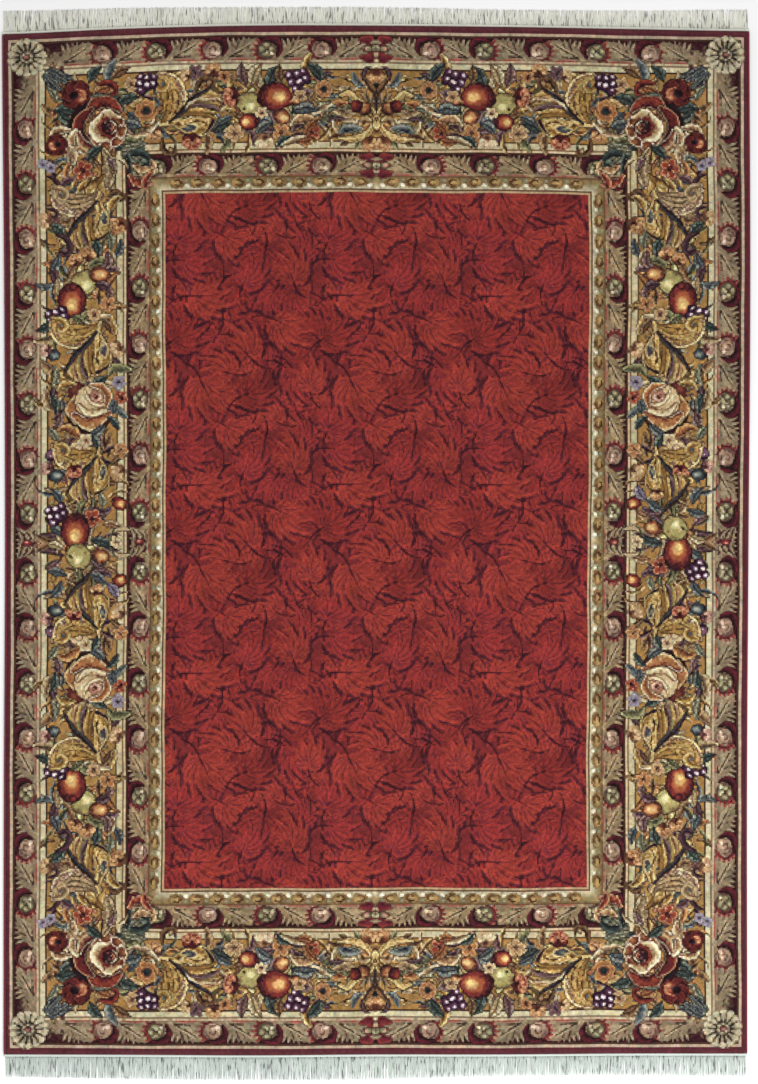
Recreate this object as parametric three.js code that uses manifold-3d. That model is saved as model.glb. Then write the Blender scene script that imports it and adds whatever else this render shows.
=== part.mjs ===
// Tabriz rug: a hand-knotted wool pile rug lying flat, with overcast long sides
// and a combed cotton fringe at each end. Millimetres, X across, Y along, Z up.

import * as THREE from "three";
import { mergeVertices } from "three/addons/utils/BufferGeometryUtils.js";
import Module from "manifold-3d";

// Driving dimensions of the pile and its edges.
const RUG_WIDTH = 2450;
const PILE_LENGTH = 3368;
const PILE_THICKNESS = 12;
const EDGE_ROUNDING = 3;
const EDGE_ROUNDING_STEPS = 3;
const PIECE_GAP = 0.3;

// The overcast cord sewn along each long side.
const CORD_WIDTH = 9;
const CORD_HEIGHT = 10;
const CORD_SIDES = 10;
const CORD_END_TAPER = 5;

// The flat woven web at each end and the warp locks that leave it.
const WEB_WIDTH = 8;
const WEB_HEIGHT = 4;
const LOCKS_PER_END = 140;
const LOCK_ROOT_WIDTH = 11.5;
const LOCK_TIP_WIDTH = 7;
const LOCK_HEIGHT = 3.4;
const LOCK_TIP_HEIGHT = 2.2;
const LOCK_CROWN = 0.55;
const LOCK_STEPS = 2;
const LOCK_ROOT_OVERLAP = 3;
const LOCK_LEAN = 2.6;
const LOCK_LENGTH_SPREAD = 4;
const LOCK_SEED = 29;

// Steps along the sides and ends of the outline.
const SIDE_STEPS = 28;
const END_STEPS = 24;

// How far the long sides draw in from their widest line, in even steps from the
// bottom end to the top end.
const SIDE_ROWS = [
  { left: 5, right: 10 },
  { left: 6, right: 11 },
  { left: 10, right: 6 },
  { left: 7, right: 0 },
  { left: 0, right: 3 },
];

// How far the ends draw in from their longest line and how long the fringe is,
// web included, in even steps from the left side to the right side.
const END_ROWS = [
  { top: 28, bottom: 3, topFringe: 80, bottomFringe: 78 },
  { top: 10, bottom: 2, topFringe: 72, bottomFringe: 83 },
  { top: 0, bottom: 0, topFringe: 65, bottomFringe: 85 },
  { top: 0, bottom: 3, topFringe: 65, bottomFringe: 85 },
  { top: 4, bottom: 3, topFringe: 61, bottomFringe: 75 },
  { top: 11, bottom: 6, topFringe: 65, bottomFringe: 75 },
  { top: 18, bottom: 6, topFringe: 75, bottomFringe: 78 },
];

const COLOURS = {
  pile: 0x7d3a2e,
  cord: 0x6b2430,
  fringe: 0xd9d2bc,
};

// A smooth curve through one column of a table, read at 0 to 1.
function columnCurve(rows, column) {
  const points = rows.map((row, i) => new THREE.Vector2(i / (rows.length - 1), row[column]));
  const curve = new THREE.SplineCurve(points);
  return (t) => curve.getPoint(THREE.MathUtils.clamp(t, 0, 1)).y;
}

const drawnIn = {
  left: columnCurve(SIDE_ROWS, "left"),
  right: columnCurve(SIDE_ROWS, "right"),
  top: columnCurve(END_ROWS, "top"),
  bottom: columnCurve(END_ROWS, "bottom"),
};
const fringeReach = {
  top: columnCurve(END_ROWS, "topFringe"),
  bottom: columnCurve(END_ROWS, "bottomFringe"),
};

// The place on the rug of a share across and a share along, moved inwards from
// the long sides by an inset.
function placeOnRug(across, along, inset) {
  const leftX = -RUG_WIDTH / 2 + drawnIn.left(along) + inset;
  const rightX = RUG_WIDTH / 2 - drawnIn.right(along) - inset;
  const bottomY = -PILE_LENGTH / 2 + drawnIn.bottom(across);
  const topY = PILE_LENGTH / 2 - drawnIn.top(across);
  const x = THREE.MathUtils.lerp(leftX, rightX, across);
  const y = THREE.MathUtils.lerp(bottomY, topY, along);
  return new THREE.Vector2(x, y);
}

// The pile's outline, anticlockwise from the bottom left corner.
function pileOutline() {
  const inset = CORD_WIDTH + PIECE_GAP;
  const outline = [];
  for (let i = 0; i < END_STEPS; i++) outline.push(placeOnRug(i / END_STEPS, 0, inset));
  for (let i = 0; i < SIDE_STEPS; i++) outline.push(placeOnRug(1, i / SIDE_STEPS, inset));
  for (let i = 0; i < END_STEPS; i++) outline.push(placeOnRug(1 - i / END_STEPS, 1, inset));
  for (let i = 0; i < SIDE_STEPS; i++) outline.push(placeOnRug(0, 1 - i / SIDE_STEPS, inset));
  return outline;
}

// The pile: one flat slab whose cut edges are slightly rounded.
function pileGeometry() {
  const geometry = new THREE.ExtrudeGeometry(new THREE.Shape(pileOutline()), {
    depth: PILE_THICKNESS - 2 * EDGE_ROUNDING,
    bevelThickness: EDGE_ROUNDING,
    bevelSize: EDGE_ROUNDING,
    bevelOffset: -EDGE_ROUNDING,
    bevelSegments: EDGE_ROUNDING_STEPS,
    steps: 1,
  });
  geometry.translate(0, 0, EDGE_ROUNDING);
  return geometry;
}

// A closed skin over rings of points that run anticlockwise seen from the far end.
function loftGeometry(rings) {
  const sides = rings[0].length;
  const positions = rings.flat().flatMap((p) => [p.x, p.y, p.z]);
  const index = [];
  for (let r = 0; r < rings.length - 1; r++) {
    for (let s = 0; s < sides; s++) {
      const a = r * sides + s;
      const b = r * sides + ((s + 1) % sides);
      index.push(a, b, b + sides, a, b + sides, a + sides);
    }
  }
  const last = (rings.length - 1) * sides;
  for (let s = 1; s < sides - 1; s++) {
    index.push(0, s + 1, s);
    index.push(last, last + s, last + s + 1);
  }
  const geometry = new THREE.BufferGeometry();
  geometry.setAttribute("position", new THREE.Float32BufferAttribute(positions, 3));
  geometry.setIndex(index);
  geometry.computeVertexNormals();
  return geometry;
}

// One ring of the overcast cord: round, with a flat foot on the floor.
function cordRing(centreX, y, width, height) {
  const ring = [];
  for (let s = 0; s < CORD_SIDES; s++) {
    const angle = (2 * Math.PI * (s + 0.5)) / CORD_SIDES - Math.PI / 2;
    const reach = 1 / Math.cos(Math.PI / CORD_SIDES);
    const x = centreX + THREE.MathUtils.clamp(reach * Math.cos(angle), -1, 1) * (width / 2);
    const z = (height / 2) * (1 + THREE.MathUtils.clamp(reach * Math.sin(angle), -1, 1));
    ring.push(new THREE.Vector3(x, y, z));
  }
  return ring.reverse();
}

// The cord on one long side; across is 0 on the left and 1 on the right.
function cordGeometry(across) {
  const inward = across === 0 ? 1 : -1;
  const taperShare = CORD_END_TAPER / PILE_LENGTH;
  const rings = [];
  for (let i = 0; i <= SIDE_STEPS; i++) {
    const along = THREE.MathUtils.lerp(taperShare, 1 - taperShare, i / SIDE_STEPS);
    const edge = placeOnRug(across, along, 0);
    rings.push(cordRing(edge.x + (inward * CORD_WIDTH) / 2, edge.y, CORD_WIDTH, CORD_HEIGHT));
  }
  const endRings = [rings[0], rings[rings.length - 1]];
  const tips = endRings.map((ring, i) => {
    const outward = i === 0 ? -1 : 1;
    const middle = new THREE.Box3().setFromPoints(ring).getCenter(new THREE.Vector3());
    const width = CORD_WIDTH * 0.6;
    return cordRing(middle.x, middle.y + outward * CORD_END_TAPER, width, CORD_HEIGHT * 0.7);
  });
  return loftGeometry([tips[0], ...rings, tips[1]]);
}

// Even, repeatable numbers from 0 to 1.
function numberSource(seed) {
  let state = seed;
  return () => {
    state = (state * 1664525 + 1013904223) % 4294967296;
    return state / 4294967296;
  };
}

// One ring of a lock or of the web: four sides, flat foot, narrower top.
function barRing(centre, half, crown, height) {
  const corners = [
    [-1, 0],
    [1, 0],
    [crown, 1],
    [-crown, 1],
  ];
  return corners.map(([side, up]) => {
    return new THREE.Vector3(centre.x + half.x * side, centre.y + half.y * side, up * height);
  });
}

// The web strip along one end; along is 0 at the bottom end and 1 at the top end.
function webGeometry(along, outward) {
  const rings = [];
  for (let i = 0; i <= END_STEPS; i++) {
    const edge = placeOnRug(i / END_STEPS, along, 0);
    edge.y += outward * (PIECE_GAP + WEB_WIDTH / 2);
    rings.push(barRing(edge, new THREE.Vector2(0, WEB_WIDTH / 2), 0.8, WEB_HEIGHT));
  }
  return loftGeometry(rings.map((ring) => ring.reverse()).reverse());
}

// One lock: rooted in the web, leaning a little, thinner towards its cut tip.
function lockGeometry(root, tip, outward) {
  const rings = [];
  for (let i = 0; i <= LOCK_STEPS; i++) {
    const t = i / LOCK_STEPS;
    const sway = t * t * (3 - 2 * t);
    const centre = new THREE.Vector2(
      THREE.MathUtils.lerp(root.x, tip.x, sway),
      THREE.MathUtils.lerp(root.y, tip.y, t),
    );
    const halfWidth = THREE.MathUtils.lerp(LOCK_ROOT_WIDTH, LOCK_TIP_WIDTH, t) / 2;
    const height = THREE.MathUtils.lerp(LOCK_HEIGHT, LOCK_TIP_HEIGHT, t);
    rings.push(barRing(centre, new THREE.Vector2(halfWidth, 0), LOCK_CROWN, height));
  }
  return loftGeometry(outward > 0 ? rings.map((ring) => [...ring].reverse()) : rings);
}

const wasm = await Module();
wasm.setup();

function toSolid(geometry) {
  const bare = new THREE.BufferGeometry();
  bare.setAttribute("position", geometry.getAttribute("position"));
  if (geometry.index) bare.setIndex(geometry.index);
  const merged = mergeVertices(bare);
  return new wasm.Manifold(
    new wasm.Mesh({
      numProp: 3,
      vertProperties: new Float32Array(merged.attributes.position.array),
      triVerts: new Uint32Array(merged.index.array),
    }),
  );
}

function toGeometry(solid) {
  const mesh = solid.getMesh();
  const geometry = new THREE.BufferGeometry();
  geometry.setAttribute("position", new THREE.BufferAttribute(mesh.vertProperties, 3));
  geometry.setIndex(new THREE.BufferAttribute(mesh.triVerts, 1));
  geometry.computeVertexNormals();
  return geometry;
}

// The fringe of one end: the web with its locks fused in at their roots.
function fringeGeometry(end) {
  const along = end === "top" ? 1 : 0;
  const outward = end === "top" ? 1 : -1;
  const random = numberSource(LOCK_SEED + along);
  const margin = LOCK_ROOT_WIDTH / 2;
  let solid = toSolid(webGeometry(along, outward));
  for (let i = 0; i < LOCKS_PER_END; i++) {
    const share = i / (LOCKS_PER_END - 1);
    const across = THREE.MathUtils.lerp(margin / RUG_WIDTH, 1 - margin / RUG_WIDTH, share);
    const edge = placeOnRug(across, along, 0);
    const reach = fringeReach[end](across) - random() * LOCK_LENGTH_SPREAD;
    const lean = (random() - 0.5) * 2 * LOCK_LEAN;
    const rootY = edge.y + outward * (PIECE_GAP + WEB_WIDTH - LOCK_ROOT_OVERLAP);
    const root = new THREE.Vector2(edge.x, rootY);
    const tip = new THREE.Vector2(edge.x + lean, edge.y + outward * reach);
    solid = solid.add(toSolid(lockGeometry(root, tip, outward)));
  }
  return toGeometry(solid);
}

function addPiece(group, name, geometry, colour, roughness) {
  const material = new THREE.MeshStandardMaterial({ color: colour, roughness, metalness: 0 });
  const mesh = new THREE.Mesh(geometry, material);
  mesh.name = name;
  group.add(mesh);
}

// The rug, with its origin on the floor under the middle of its box.
function buildRug() {
  const group = new THREE.Group();
  addPiece(group, "pile", pileGeometry(), COLOURS.pile, 0.95);
  addPiece(group, "selvedge_left", cordGeometry(0), COLOURS.cord, 0.9);
  addPiece(group, "selvedge_right", cordGeometry(1), COLOURS.cord, 0.9);
  addPiece(group, "fringe_top", fringeGeometry("top"), COLOURS.fringe, 0.9);
  addPiece(group, "fringe_bottom", fringeGeometry("bottom"), COLOURS.fringe, 0.9);
  const middle = new THREE.Box3().setFromObject(group).getCenter(new THREE.Vector3());
  group.position.set(-middle.x, -middle.y, 0);
  return group;
}

const group = buildRug();

export default group;
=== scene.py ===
"""Tabriz rug: a knotted wool pile rug with fruit and flower borders, lying flat."""

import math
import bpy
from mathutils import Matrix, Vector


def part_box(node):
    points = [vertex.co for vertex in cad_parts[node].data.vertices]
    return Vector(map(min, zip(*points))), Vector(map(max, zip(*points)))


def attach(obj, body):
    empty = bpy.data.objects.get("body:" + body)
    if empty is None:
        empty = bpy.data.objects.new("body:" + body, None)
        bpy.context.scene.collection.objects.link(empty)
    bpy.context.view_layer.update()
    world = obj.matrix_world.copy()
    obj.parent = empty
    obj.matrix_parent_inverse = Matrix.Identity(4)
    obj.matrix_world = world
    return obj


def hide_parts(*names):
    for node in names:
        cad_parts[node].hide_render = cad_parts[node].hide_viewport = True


bl_info = {
    "name": "Tabriz Rug",
    "version": (1, 0, 0),
    "blender": (4, 5, 0),
    "location": "View3D > Sidebar > Rug",
    "description": "Dresses a knotted wool rug: pile, overcast sides, fringes and studio",
    "category": "Object",
}

import bpy
import numpy as np
from mathutils import Vector

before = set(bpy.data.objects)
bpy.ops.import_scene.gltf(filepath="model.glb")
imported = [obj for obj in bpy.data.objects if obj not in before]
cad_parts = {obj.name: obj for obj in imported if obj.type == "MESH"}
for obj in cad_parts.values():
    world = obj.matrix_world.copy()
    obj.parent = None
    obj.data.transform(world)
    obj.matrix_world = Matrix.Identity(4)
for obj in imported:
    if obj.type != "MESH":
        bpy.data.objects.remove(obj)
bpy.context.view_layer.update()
BODY = "root"

# The cartoon, the weaver's drawing, has a square for each knot and two cells to its side.
KNOTS_ACROSS = 747
KNOTS_ALONG = 1030
CELLS_PER_KNOT = 2
PILE_LOW, PILE_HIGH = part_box("pile")
PILE_TOP = PILE_HIGH[2]
HALF_LENGTH = (PILE_HIGH[1] - PILE_LOW[1]) / 2
MIDDLE_Y = (PILE_HIGH[1] + PILE_LOW[1]) / 2
HALF_WIDTH = (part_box("selvedge_right")[1][0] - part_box("selvedge_left")[0][0]) / 2
KNOT = 2 * HALF_LENGTH / KNOTS_ALONG

# Sizes of the made details, in metres.
PIECE_GAP = 0.0003
GROUND_THICKNESS = 0.003
RIM_ROUNDING = 0.003
CORD_WIDTH = 0.009
CORD_HEIGHT = 0.010
CORD_PITCH = 0.004
WEB_WIDTH = 0.008
PILE_INSET = (CORD_WIDTH + PIECE_GAP) / KNOT

# How far the long sides draw in from their widest line, in millimetres, in even
# steps from the bottom end to the top end.
SIDE_ROWS = {
    "left": (5, 6, 10, 7, 0),
    "right": (10, 11, 6, 0, 3),
}
# How far the ends draw in from their longest line and how long the fringe is,
# in millimetres, in even steps from the left side to the right side.
END_ROWS = {
    "top": (28, 10, 0, 0, 4, 11, 18),
    "bottom": (3, 2, 0, 3, 3, 6, 6),
    "top_fringe": (80, 72, 65, 65, 61, 65, 75),
    "bottom_fringe": (78, 83, 85, 85, 75, 75, 78),
}
# How far the weaving wanders, in metres, and over how many knots it starts from the rim.
WANDER = 0.0011
WANDER_START = 12

# The studio: the photograph is 1084 pixels high and a pixel shows one knot.
PHOTO_HEIGHT = 1084
LENS = 100
SENSOR = 36
CAMERA_X = 0.009
CAMERA_Y = 0.005
FLOOR_REACH = 30
FLOOR_DROP = 0.0005
AIR_STRENGTH = 0.66
# name, place, size and power of each light
STUDIO_LIGHTS = (
    ("soft light low", (1.6, -4.6, 4.6), 4.0, 290),
    ("soft light high", (2.0, 3.5, 6.5), 4.0, 50),
)


def read_row(row, share):
    """A smooth curve through a row of even steps, in metres, read at 0 to 1."""
    row = np.asarray(row, dtype=float) / 1000
    place = np.clip(share, 0, 1) * (len(row) - 1)
    step = np.minimum(place.astype(int), len(row) - 2)
    t = place - step
    before, here = row[np.maximum(step - 1, 0)], row[step]
    after, beyond = row[step + 1], row[np.minimum(step + 2, len(row) - 1)]
    slope_in, slope_out = (after - before) / 2, (beyond - here) / 2
    bend = 2 * here - 2 * after + slope_in + slope_out
    return here + t * (slope_in + t * (3 * (after - here) - 2 * slope_in - slope_out + t * bend))


def place_on_rug(across, down):
    """Metres on the floor for shares across from the left and down from the top."""
    across, down = np.broadcast_arrays(np.asarray(across, float), np.asarray(down, float))
    left = -HALF_WIDTH + read_row(SIDE_ROWS["left"], 1 - down)
    right = HALF_WIDTH - read_row(SIDE_ROWS["right"], 1 - down)
    top = MIDDLE_Y + HALF_LENGTH - read_row(END_ROWS["top"], across)
    bottom = MIDDLE_Y - HALF_LENGTH + read_row(END_ROWS["bottom"], across)
    return left + (right - left) * across, top + (bottom - top) * down


def rim_depth(x, y):
    """Knots in from the nearest side of the whole rug."""
    return np.minimum(np.minimum(x, KNOTS_ACROSS - x), np.minimum(y, KNOTS_ALONG - y))


def knot_wobble(x, y):
    """How far the weaving wanders, in metres, for places in knots; none at the rim."""
    reach = WANDER * np.clip(rim_depth(x, y) / WANDER_START, 0, 1)
    across = np.sin(y / 31 + 1.3 * np.sin(x / 97)) + 0.6 * np.sin(y / 12.7 + x / 41 + 2.0)
    along = np.sin(x / 27 + 1.7 * np.sin(y / 83)) + 0.6 * np.sin(x / 11.3 - y / 37 + 0.7)
    return reach * across, reach * along


def rug_points(x, y, z):
    """Vertices for places in knots from the top left corner, and heights in metres."""
    across, along = place_on_rug(x / KNOTS_ACROSS, y / KNOTS_ALONG)
    wander_x, wander_y = knot_wobble(x, y)
    return np.stack((across + wander_x, along + wander_y, np.broadcast_to(z, across.shape)), axis=-1)


def rgb(red, green, blue):
    """A screen colour, its parts from 0 to 255, as shares."""
    return np.array((red, green, blue), dtype=np.float32) / 255


def as_linear(colour):
    """Screen colours from 0 to 1 as light."""
    colour = np.clip(np.asarray(colour, dtype=float), 0, 1)
    return np.where(colour <= 0.04045, colour / 12.92, ((colour + 0.055) / 1.055) ** 2.4)


def solid_colour(red, green, blue):
    """A screen colour as light, for a socket."""
    return (*as_linear(rgb(red, green, blue)), 1.0)


def ramp(share, colours):
    """Colours read smoothly along a list, for shares from 0 to 1."""
    table = np.asarray(colours, dtype=np.float32)
    place = np.clip(share, 0, 1) * (len(table) - 1)
    low = np.minimum(place.astype(int), max(len(table) - 2, 0))
    high = np.minimum(low + 1, len(table) - 1)
    part = (place - low)[..., None]
    return table[low] * (1 - part) + table[high] * part


def smooth_path(points, steps):
    """A Catmull-Rom curve through points."""
    points = [np.asarray(p, dtype=float) for p in points]
    if len(points) == 2:
        return np.linspace(points[0], points[1], steps + 1)
    ends = [2 * points[0] - points[1]] + points + [2 * points[-1] - points[-2]]
    out = []
    for a, b, c, d in zip(ends, ends[1:], ends[2:], ends[3:]):
        for t in np.linspace(0, 1, steps, endpoint=False):
            bend = (2 * a - 5 * b + 4 * c - d) * t**2 + (3 * b - a - 3 * c + d) * t**3
            out.append(0.5 * (2 * b + (c - a) * t + bend))
    out.append(points[-1])
    return np.array(out)


def unevenness(rows, columns, cells, seed):
    """Smooth noise about zero, its bumps so many cells apart; it joins on to itself."""
    rng = np.random.default_rng(seed)
    tall, wide = max(2, round(rows / cells)), max(2, round(columns / cells))
    grid = rng.normal(0, 1, (tall, wide)).astype(np.float32)
    down, right = np.arange(rows) * tall / rows, np.arange(columns) * wide / columns
    row, column = down.astype(int), right.astype(int)
    v, u = (down - row)[:, None].astype(np.float32), (right - column)[None, :].astype(np.float32)
    v, u = v * v * (3 - 2 * v), u * u * (3 - 2 * u)
    upper, lower = grid[row], grid[(row + 1) % tall]
    beside = (column + 1) % wide
    near = upper[:, column] * (1 - v) + lower[:, column] * v
    far = upper[:, beside] * (1 - v) + lower[:, beside] * v
    return near * (1 - u) + far * u


class Cartoon:
    """The weaver's drawing: a colour for every cell."""

    def __init__(self, width, length, rough=0.55, mottle=0.11):
        self.rows = int(length * CELLS_PER_KNOT)
        self.columns = int(width * CELLS_PER_KNOT)
        self.colour = np.zeros((self.rows, self.columns, 3), dtype=np.float32)
        size = self.rows, self.columns
        self.rough = unevenness(*size, 4, 11) * rough + unevenness(*size, 9, 12) * rough * 0.6
        self.mottle = unevenness(*size, 3, 13) * mottle + unevenness(*size, 7, 14) * mottle

    def window(self, left, top, right, bottom):
        """The cells of a box, and the places of their middles in knots."""
        def span(low, high, count):
            first = max(0, math.floor(low * CELLS_PER_KNOT))
            last = min(count, math.ceil(high * CELLS_PER_KNOT) + 1)
            return slice(first, max(first, last))

        cells = span(top, bottom, self.rows), span(left, right, self.columns)
        y, x = ((np.arange(s.start, s.stop, dtype=np.float32) + 0.5) / CELLS_PER_KNOT for s in cells)
        return cells, *np.meshgrid(x, y)

    def point_colours(self, x, y):
        """Colours at places in cells, read smoothly between the cells' middles."""
        column = np.clip(x - 0.5, 0, self.columns - 1.001)
        row = np.clip(y - 0.5, 0, self.rows - 1.001)
        left, top = column.astype(int), row.astype(int)
        u, v = (column - left)[..., None], (row - top)[..., None]
        upper = self.colour[top, left] * (1 - u) + self.colour[top, left + 1] * u
        lower = self.colour[top + 1, left] * (1 - u) + self.colour[top + 1, left + 1] * u
        return upper * (1 - v) + lower * v

    def lay(self, cells, cover, colour):
        """Lays a colour over cells, as much of each as the cover says."""
        cover = np.clip(cover, 0, 1)[..., None]
        self.colour[cells] = self.colour[cells] * (1 - cover) + colour * cover


# A toothed band: how far its teeth lean, how round its lobes are and how its veins and rib are drawn.
TOOTH_LEAN = 0.35
TOOTH_SKEW = 0.25
LOBE_ROUNDING = 0.6
VEIN_SHARPNESS = 7
RIB_HALF_WIDTH = 0.45
RIB_STRENGTH = 0.9
BAND_ROUGHNESS = 0.8


class Pen:
    """Draws on the cartoon in a motif's own knots: u to the right, v down.

    A shape's edge is the colour and width of its dark outline, and its rim those of the pale
    thread inside it.
    """

    def __init__(self, cartoon, at=(0.0, 0.0), axes=((1.0, 0.0), (0.0, 1.0))):
        self.cartoon = cartoon
        self.at = np.asarray(at, dtype=float)
        self.axes = np.asarray(axes, dtype=float).T
        self.size = math.sqrt(abs(np.linalg.det(self.axes)))

    def moved(self, at, turn=0.0, size=1.0, flip=False):
        """A pen of the same cartoon, placed, turned and sized within this one."""
        angle = math.radians(turn)
        side = -1.0 if flip else 1.0
        u_axis = np.array((math.cos(angle), math.sin(angle))) * size
        v_axis = np.array((-math.sin(angle), math.cos(angle))) * size * side
        place = self.at + self.axes @ np.asarray(at, dtype=float)
        return Pen(self.cartoon, place, (self.axes @ u_axis, self.axes @ v_axis))

    def patch(self, low, high):
        """The cells around a box of this pen, with their places on it."""
        corners = np.array([(u, v) for u in (low[0], high[0]) for v in (low[1], high[1])], dtype=float)
        placed = corners @ self.axes.T + self.at
        cells, x, y = self.cartoon.window(*(placed.min(axis=0) - 1), *(placed.max(axis=0) + 1))
        back = np.linalg.inv(self.axes)
        x = x - self.at[0]
        y = y - self.at[1]
        return cells, back[0, 0] * x + back[0, 1] * y, back[1, 0] * x + back[1, 1] * y

    def cover(self, inside):
        """How much of each cell a shape covers, from its depth inside the edge."""
        return np.clip(inside * self.size + 0.5, 0, 1)

    def paint(self, cells, depth, tone, edge, rim, fade=0.0):
        """Lays a shape's outline, then its tones, then its rim."""
        if edge is not None:
            self.cartoon.lay(cells, self.cover(depth + edge[1]), edge[0])
        self.cartoon.lay(cells, np.clip(depth / fade, 0, 1) if fade else self.cover(depth), tone)
        if rim is not None:
            self.cartoon.lay(cells, np.minimum(self.cover(depth), self.cover(rim[1] - depth)), rim[0])

    def oval(self, centre, radii, colours, turn=0.0, edge=None, rim=None, light=(-0.3, -0.3), fade=0.0):
        """An oval shaded from its lit point out to its rim."""
        pen = self.moved(centre, turn)
        reach = np.add(radii, 2)
        cells, u, v = pen.patch(-reach, reach)
        if u.size == 0:
            return
        a, b = u / radii[0], v / radii[1]
        depth = (1 - np.hypot(a, b)) * min(radii) + self.cartoon.rough[cells] / self.size
        share = np.hypot(a - light[0], b - light[1]) / (1 + math.hypot(*light)) + self.cartoon.mottle[cells]
        pen.paint(cells, depth, ramp(share, colours), edge, rim, fade)

    def ribbon(self, points, widths, colours, edge=None, rim=None, teeth=0, bite=0.3, lobed=False,
               veins=None, steps=5):
        """A band along a curve, its widths read along it and its colours across it."""
        line = smooth_path(points, steps)
        spans = np.hypot(*(line[1:] - line[:-1]).T)
        lengths = np.concatenate(([0], np.cumsum(spans)))
        reach = max(widths) / 2 + (edge[1] if edge else BAND_ROUGHNESS) + 1
        cells, u, v = self.patch(line.min(axis=0) - reach, line.max(axis=0) + reach)
        if u.size == 0:
            return
        nearest = np.full(u.shape, 1e9, dtype=np.float32)
        across = np.zeros_like(u)
        along = np.zeros_like(u)
        for start, end, span, gone in zip(line[:-1], line[1:], spans, lengths):
            if span < 1e-6:
                continue
            du, dv = (end - start) / span
            pu, pv = u - start[0], v - start[1]
            t = np.clip(pu * du + pv * dv, 0, span)
            distance = np.hypot(pu - t * du, pv - t * dv)
            closer = distance < nearest
            nearest = np.where(closer, distance, nearest)
            across = np.where(closer, pu * dv - pv * du, across)
            along = np.where(closer, gone + t, along)
        share = along / lengths[-1]
        half = np.interp(share, np.linspace(0, 1, len(widths)), widths) / 2
        if teeth:
            saw = (share * teeth - TOOTH_LEAN * nearest / (half + 0.3)) % 1
            skewed = 1 - np.abs(saw * (1 + TOOTH_SKEW) - TOOTH_SKEW)
            saw = np.sin(saw * math.pi) ** LOBE_ROUNDING if lobed else skewed
            half = half * (1 - bite * (1 - saw))
        depth = half - nearest + self.cartoon.rough[cells] * BAND_ROUGHNESS / self.size
        aside = np.sign(across) * nearest / (half + 0.01) * 0.5 + 0.5
        self.paint(cells, depth, ramp(aside + self.cartoon.mottle[cells], colours), edge, rim)
        if veins is not None:
            count, colour, strength = veins
            comb = (share * count - TOOTH_LEAN * nearest / (half + 0.3)) % 1
            vein = np.clip(1 - np.minimum(comb, 1 - comb) * VEIN_SHARPNESS, 0, 1) * strength
            rib = self.cover(RIB_HALF_WIDTH - nearest) * RIB_STRENGTH
            self.cartoon.lay(cells, np.maximum(vein, rib) * (depth > 0), colour)


# Wools of the stripes and the guard borders
WINE = rgb(92, 38, 48)
WINE_BRIGHT = rgb(106, 28, 42)
MAROON = rgb(66, 24, 32)
RED = rgb(126, 44, 42)
RED_BRIGHT = rgb(150, 62, 52)
BLUSH = rgb(176, 118, 100)
DARK_LINE = rgb(74, 50, 38)
FIELD_RED = rgb(120, 36, 38)
GUARD_GROUND = rgb(80, 34, 36)
LEAF_LIGHT = rgb(160, 142, 112)
LEAF_MID = rgb(132, 112, 88)
LEAF_DARK = rgb(74, 54, 44)
WARM_LEAF_LIGHT = rgb(184, 154, 108)
WARM_LEAF_MID = rgb(146, 116, 78)
BLOSSOM = {
    "pink": [rgb(196, 160, 136), rgb(152, 120, 100), rgb(108, 76, 66)],
    "green": [rgb(168, 162, 124), rgb(128, 116, 86), rgb(84, 70, 54)],
}
BAND_SHADES = [MAROON * 0.7, MAROON, LEAF_DARK, LEAF_MID * 0.94, LEAF_MID, LEAF_MID * 1.05]
BEAD_SHADES = [rgb(120, 98, 62), rgb(146, 122, 80), rgb(168, 152, 116), rgb(190, 180, 150)]
BEAD_GOLD = [rgb(176, 148, 88), rgb(156, 118, 70), rgb(122, 92, 56)]
PEARL = [rgb(232, 226, 206), rgb(200, 194, 168), rgb(140, 130, 100)]

# knots from the rug's edge where each stripe ends, and its wool
STRIPES = (
    (6.6, WINE),
    (9.4, rgb(172, 148, 128)),
    (11.6, DARK_LINE),
    (34.6, GUARD_GROUND),
    (36.6, rgb(184, 164, 132)),
    (38.4, rgb(128, 106, 84)),
    (43.4, rgb(190, 182, 146)),
    (45.2, DARK_LINE),
    (115.6, rgb(158, 114, 58)),
    (117.2, rgb(96, 70, 44)),
    (122.8, rgb(186, 174, 136)),
    (124.4, rgb(126, 98, 64)),
    (126.4, rgb(190, 164, 130)),
    (128.6, rgb(72, 46, 32)),
    (150.0, GUARD_GROUND),
    (151.6, rgb(110, 80, 50)),
    (163.4, GUARD_GROUND),
    (165.0, rgb(104, 74, 54)),
    (167.0, rgb(176, 144, 108)),
)
STRIPE_ENDS = [end for end, wool in STRIPES]
# The side borders are a little narrower than the end ones.
SIDE_SQUEEZE = 0.968
# Depths for which the units of a guard band and the beads are drawn.
GUARD_DEPTH = 23.0
BEAD_DEPTH = 11


def edge_distance(x, y):
    """Knots in from the nearest edge, with the side borders drawn in."""
    return np.minimum(np.minimum(x, KNOTS_ACROSS - x) / SIDE_SQUEEZE, np.minimum(y, KNOTS_ALONG - y))


def lay_stripes(cartoon):
    """The field's red, then the plain stripes of the borders out to the edge."""
    cells, x, y = cartoon.window(0, 0, KNOTS_ACROSS / 2, KNOTS_ALONG)
    depth = edge_distance(x, y)
    cartoon.lay(cells, np.ones_like(depth), FIELD_RED)
    for end, wool in reversed(STRIPES):
        cartoon.lay(cells, end - depth + 0.5, wool)


def lay_ground(cartoon, start, depth, shades, mottled):
    """The ground of a band that starts so deep, shaded from its outer to its inner line."""
    cells, x, y = cartoon.window(0, 0, KNOTS_ACROSS / 2, KNOTS_ALONG)
    inside = edge_distance(x, y)
    share = (inside - start) / depth + (cartoon.mottle[cells] if mottled else 0)
    cartoon.lay(cells, np.minimum(inside - start, start + depth - inside) + 0.5, ramp(share, shades))


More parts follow.
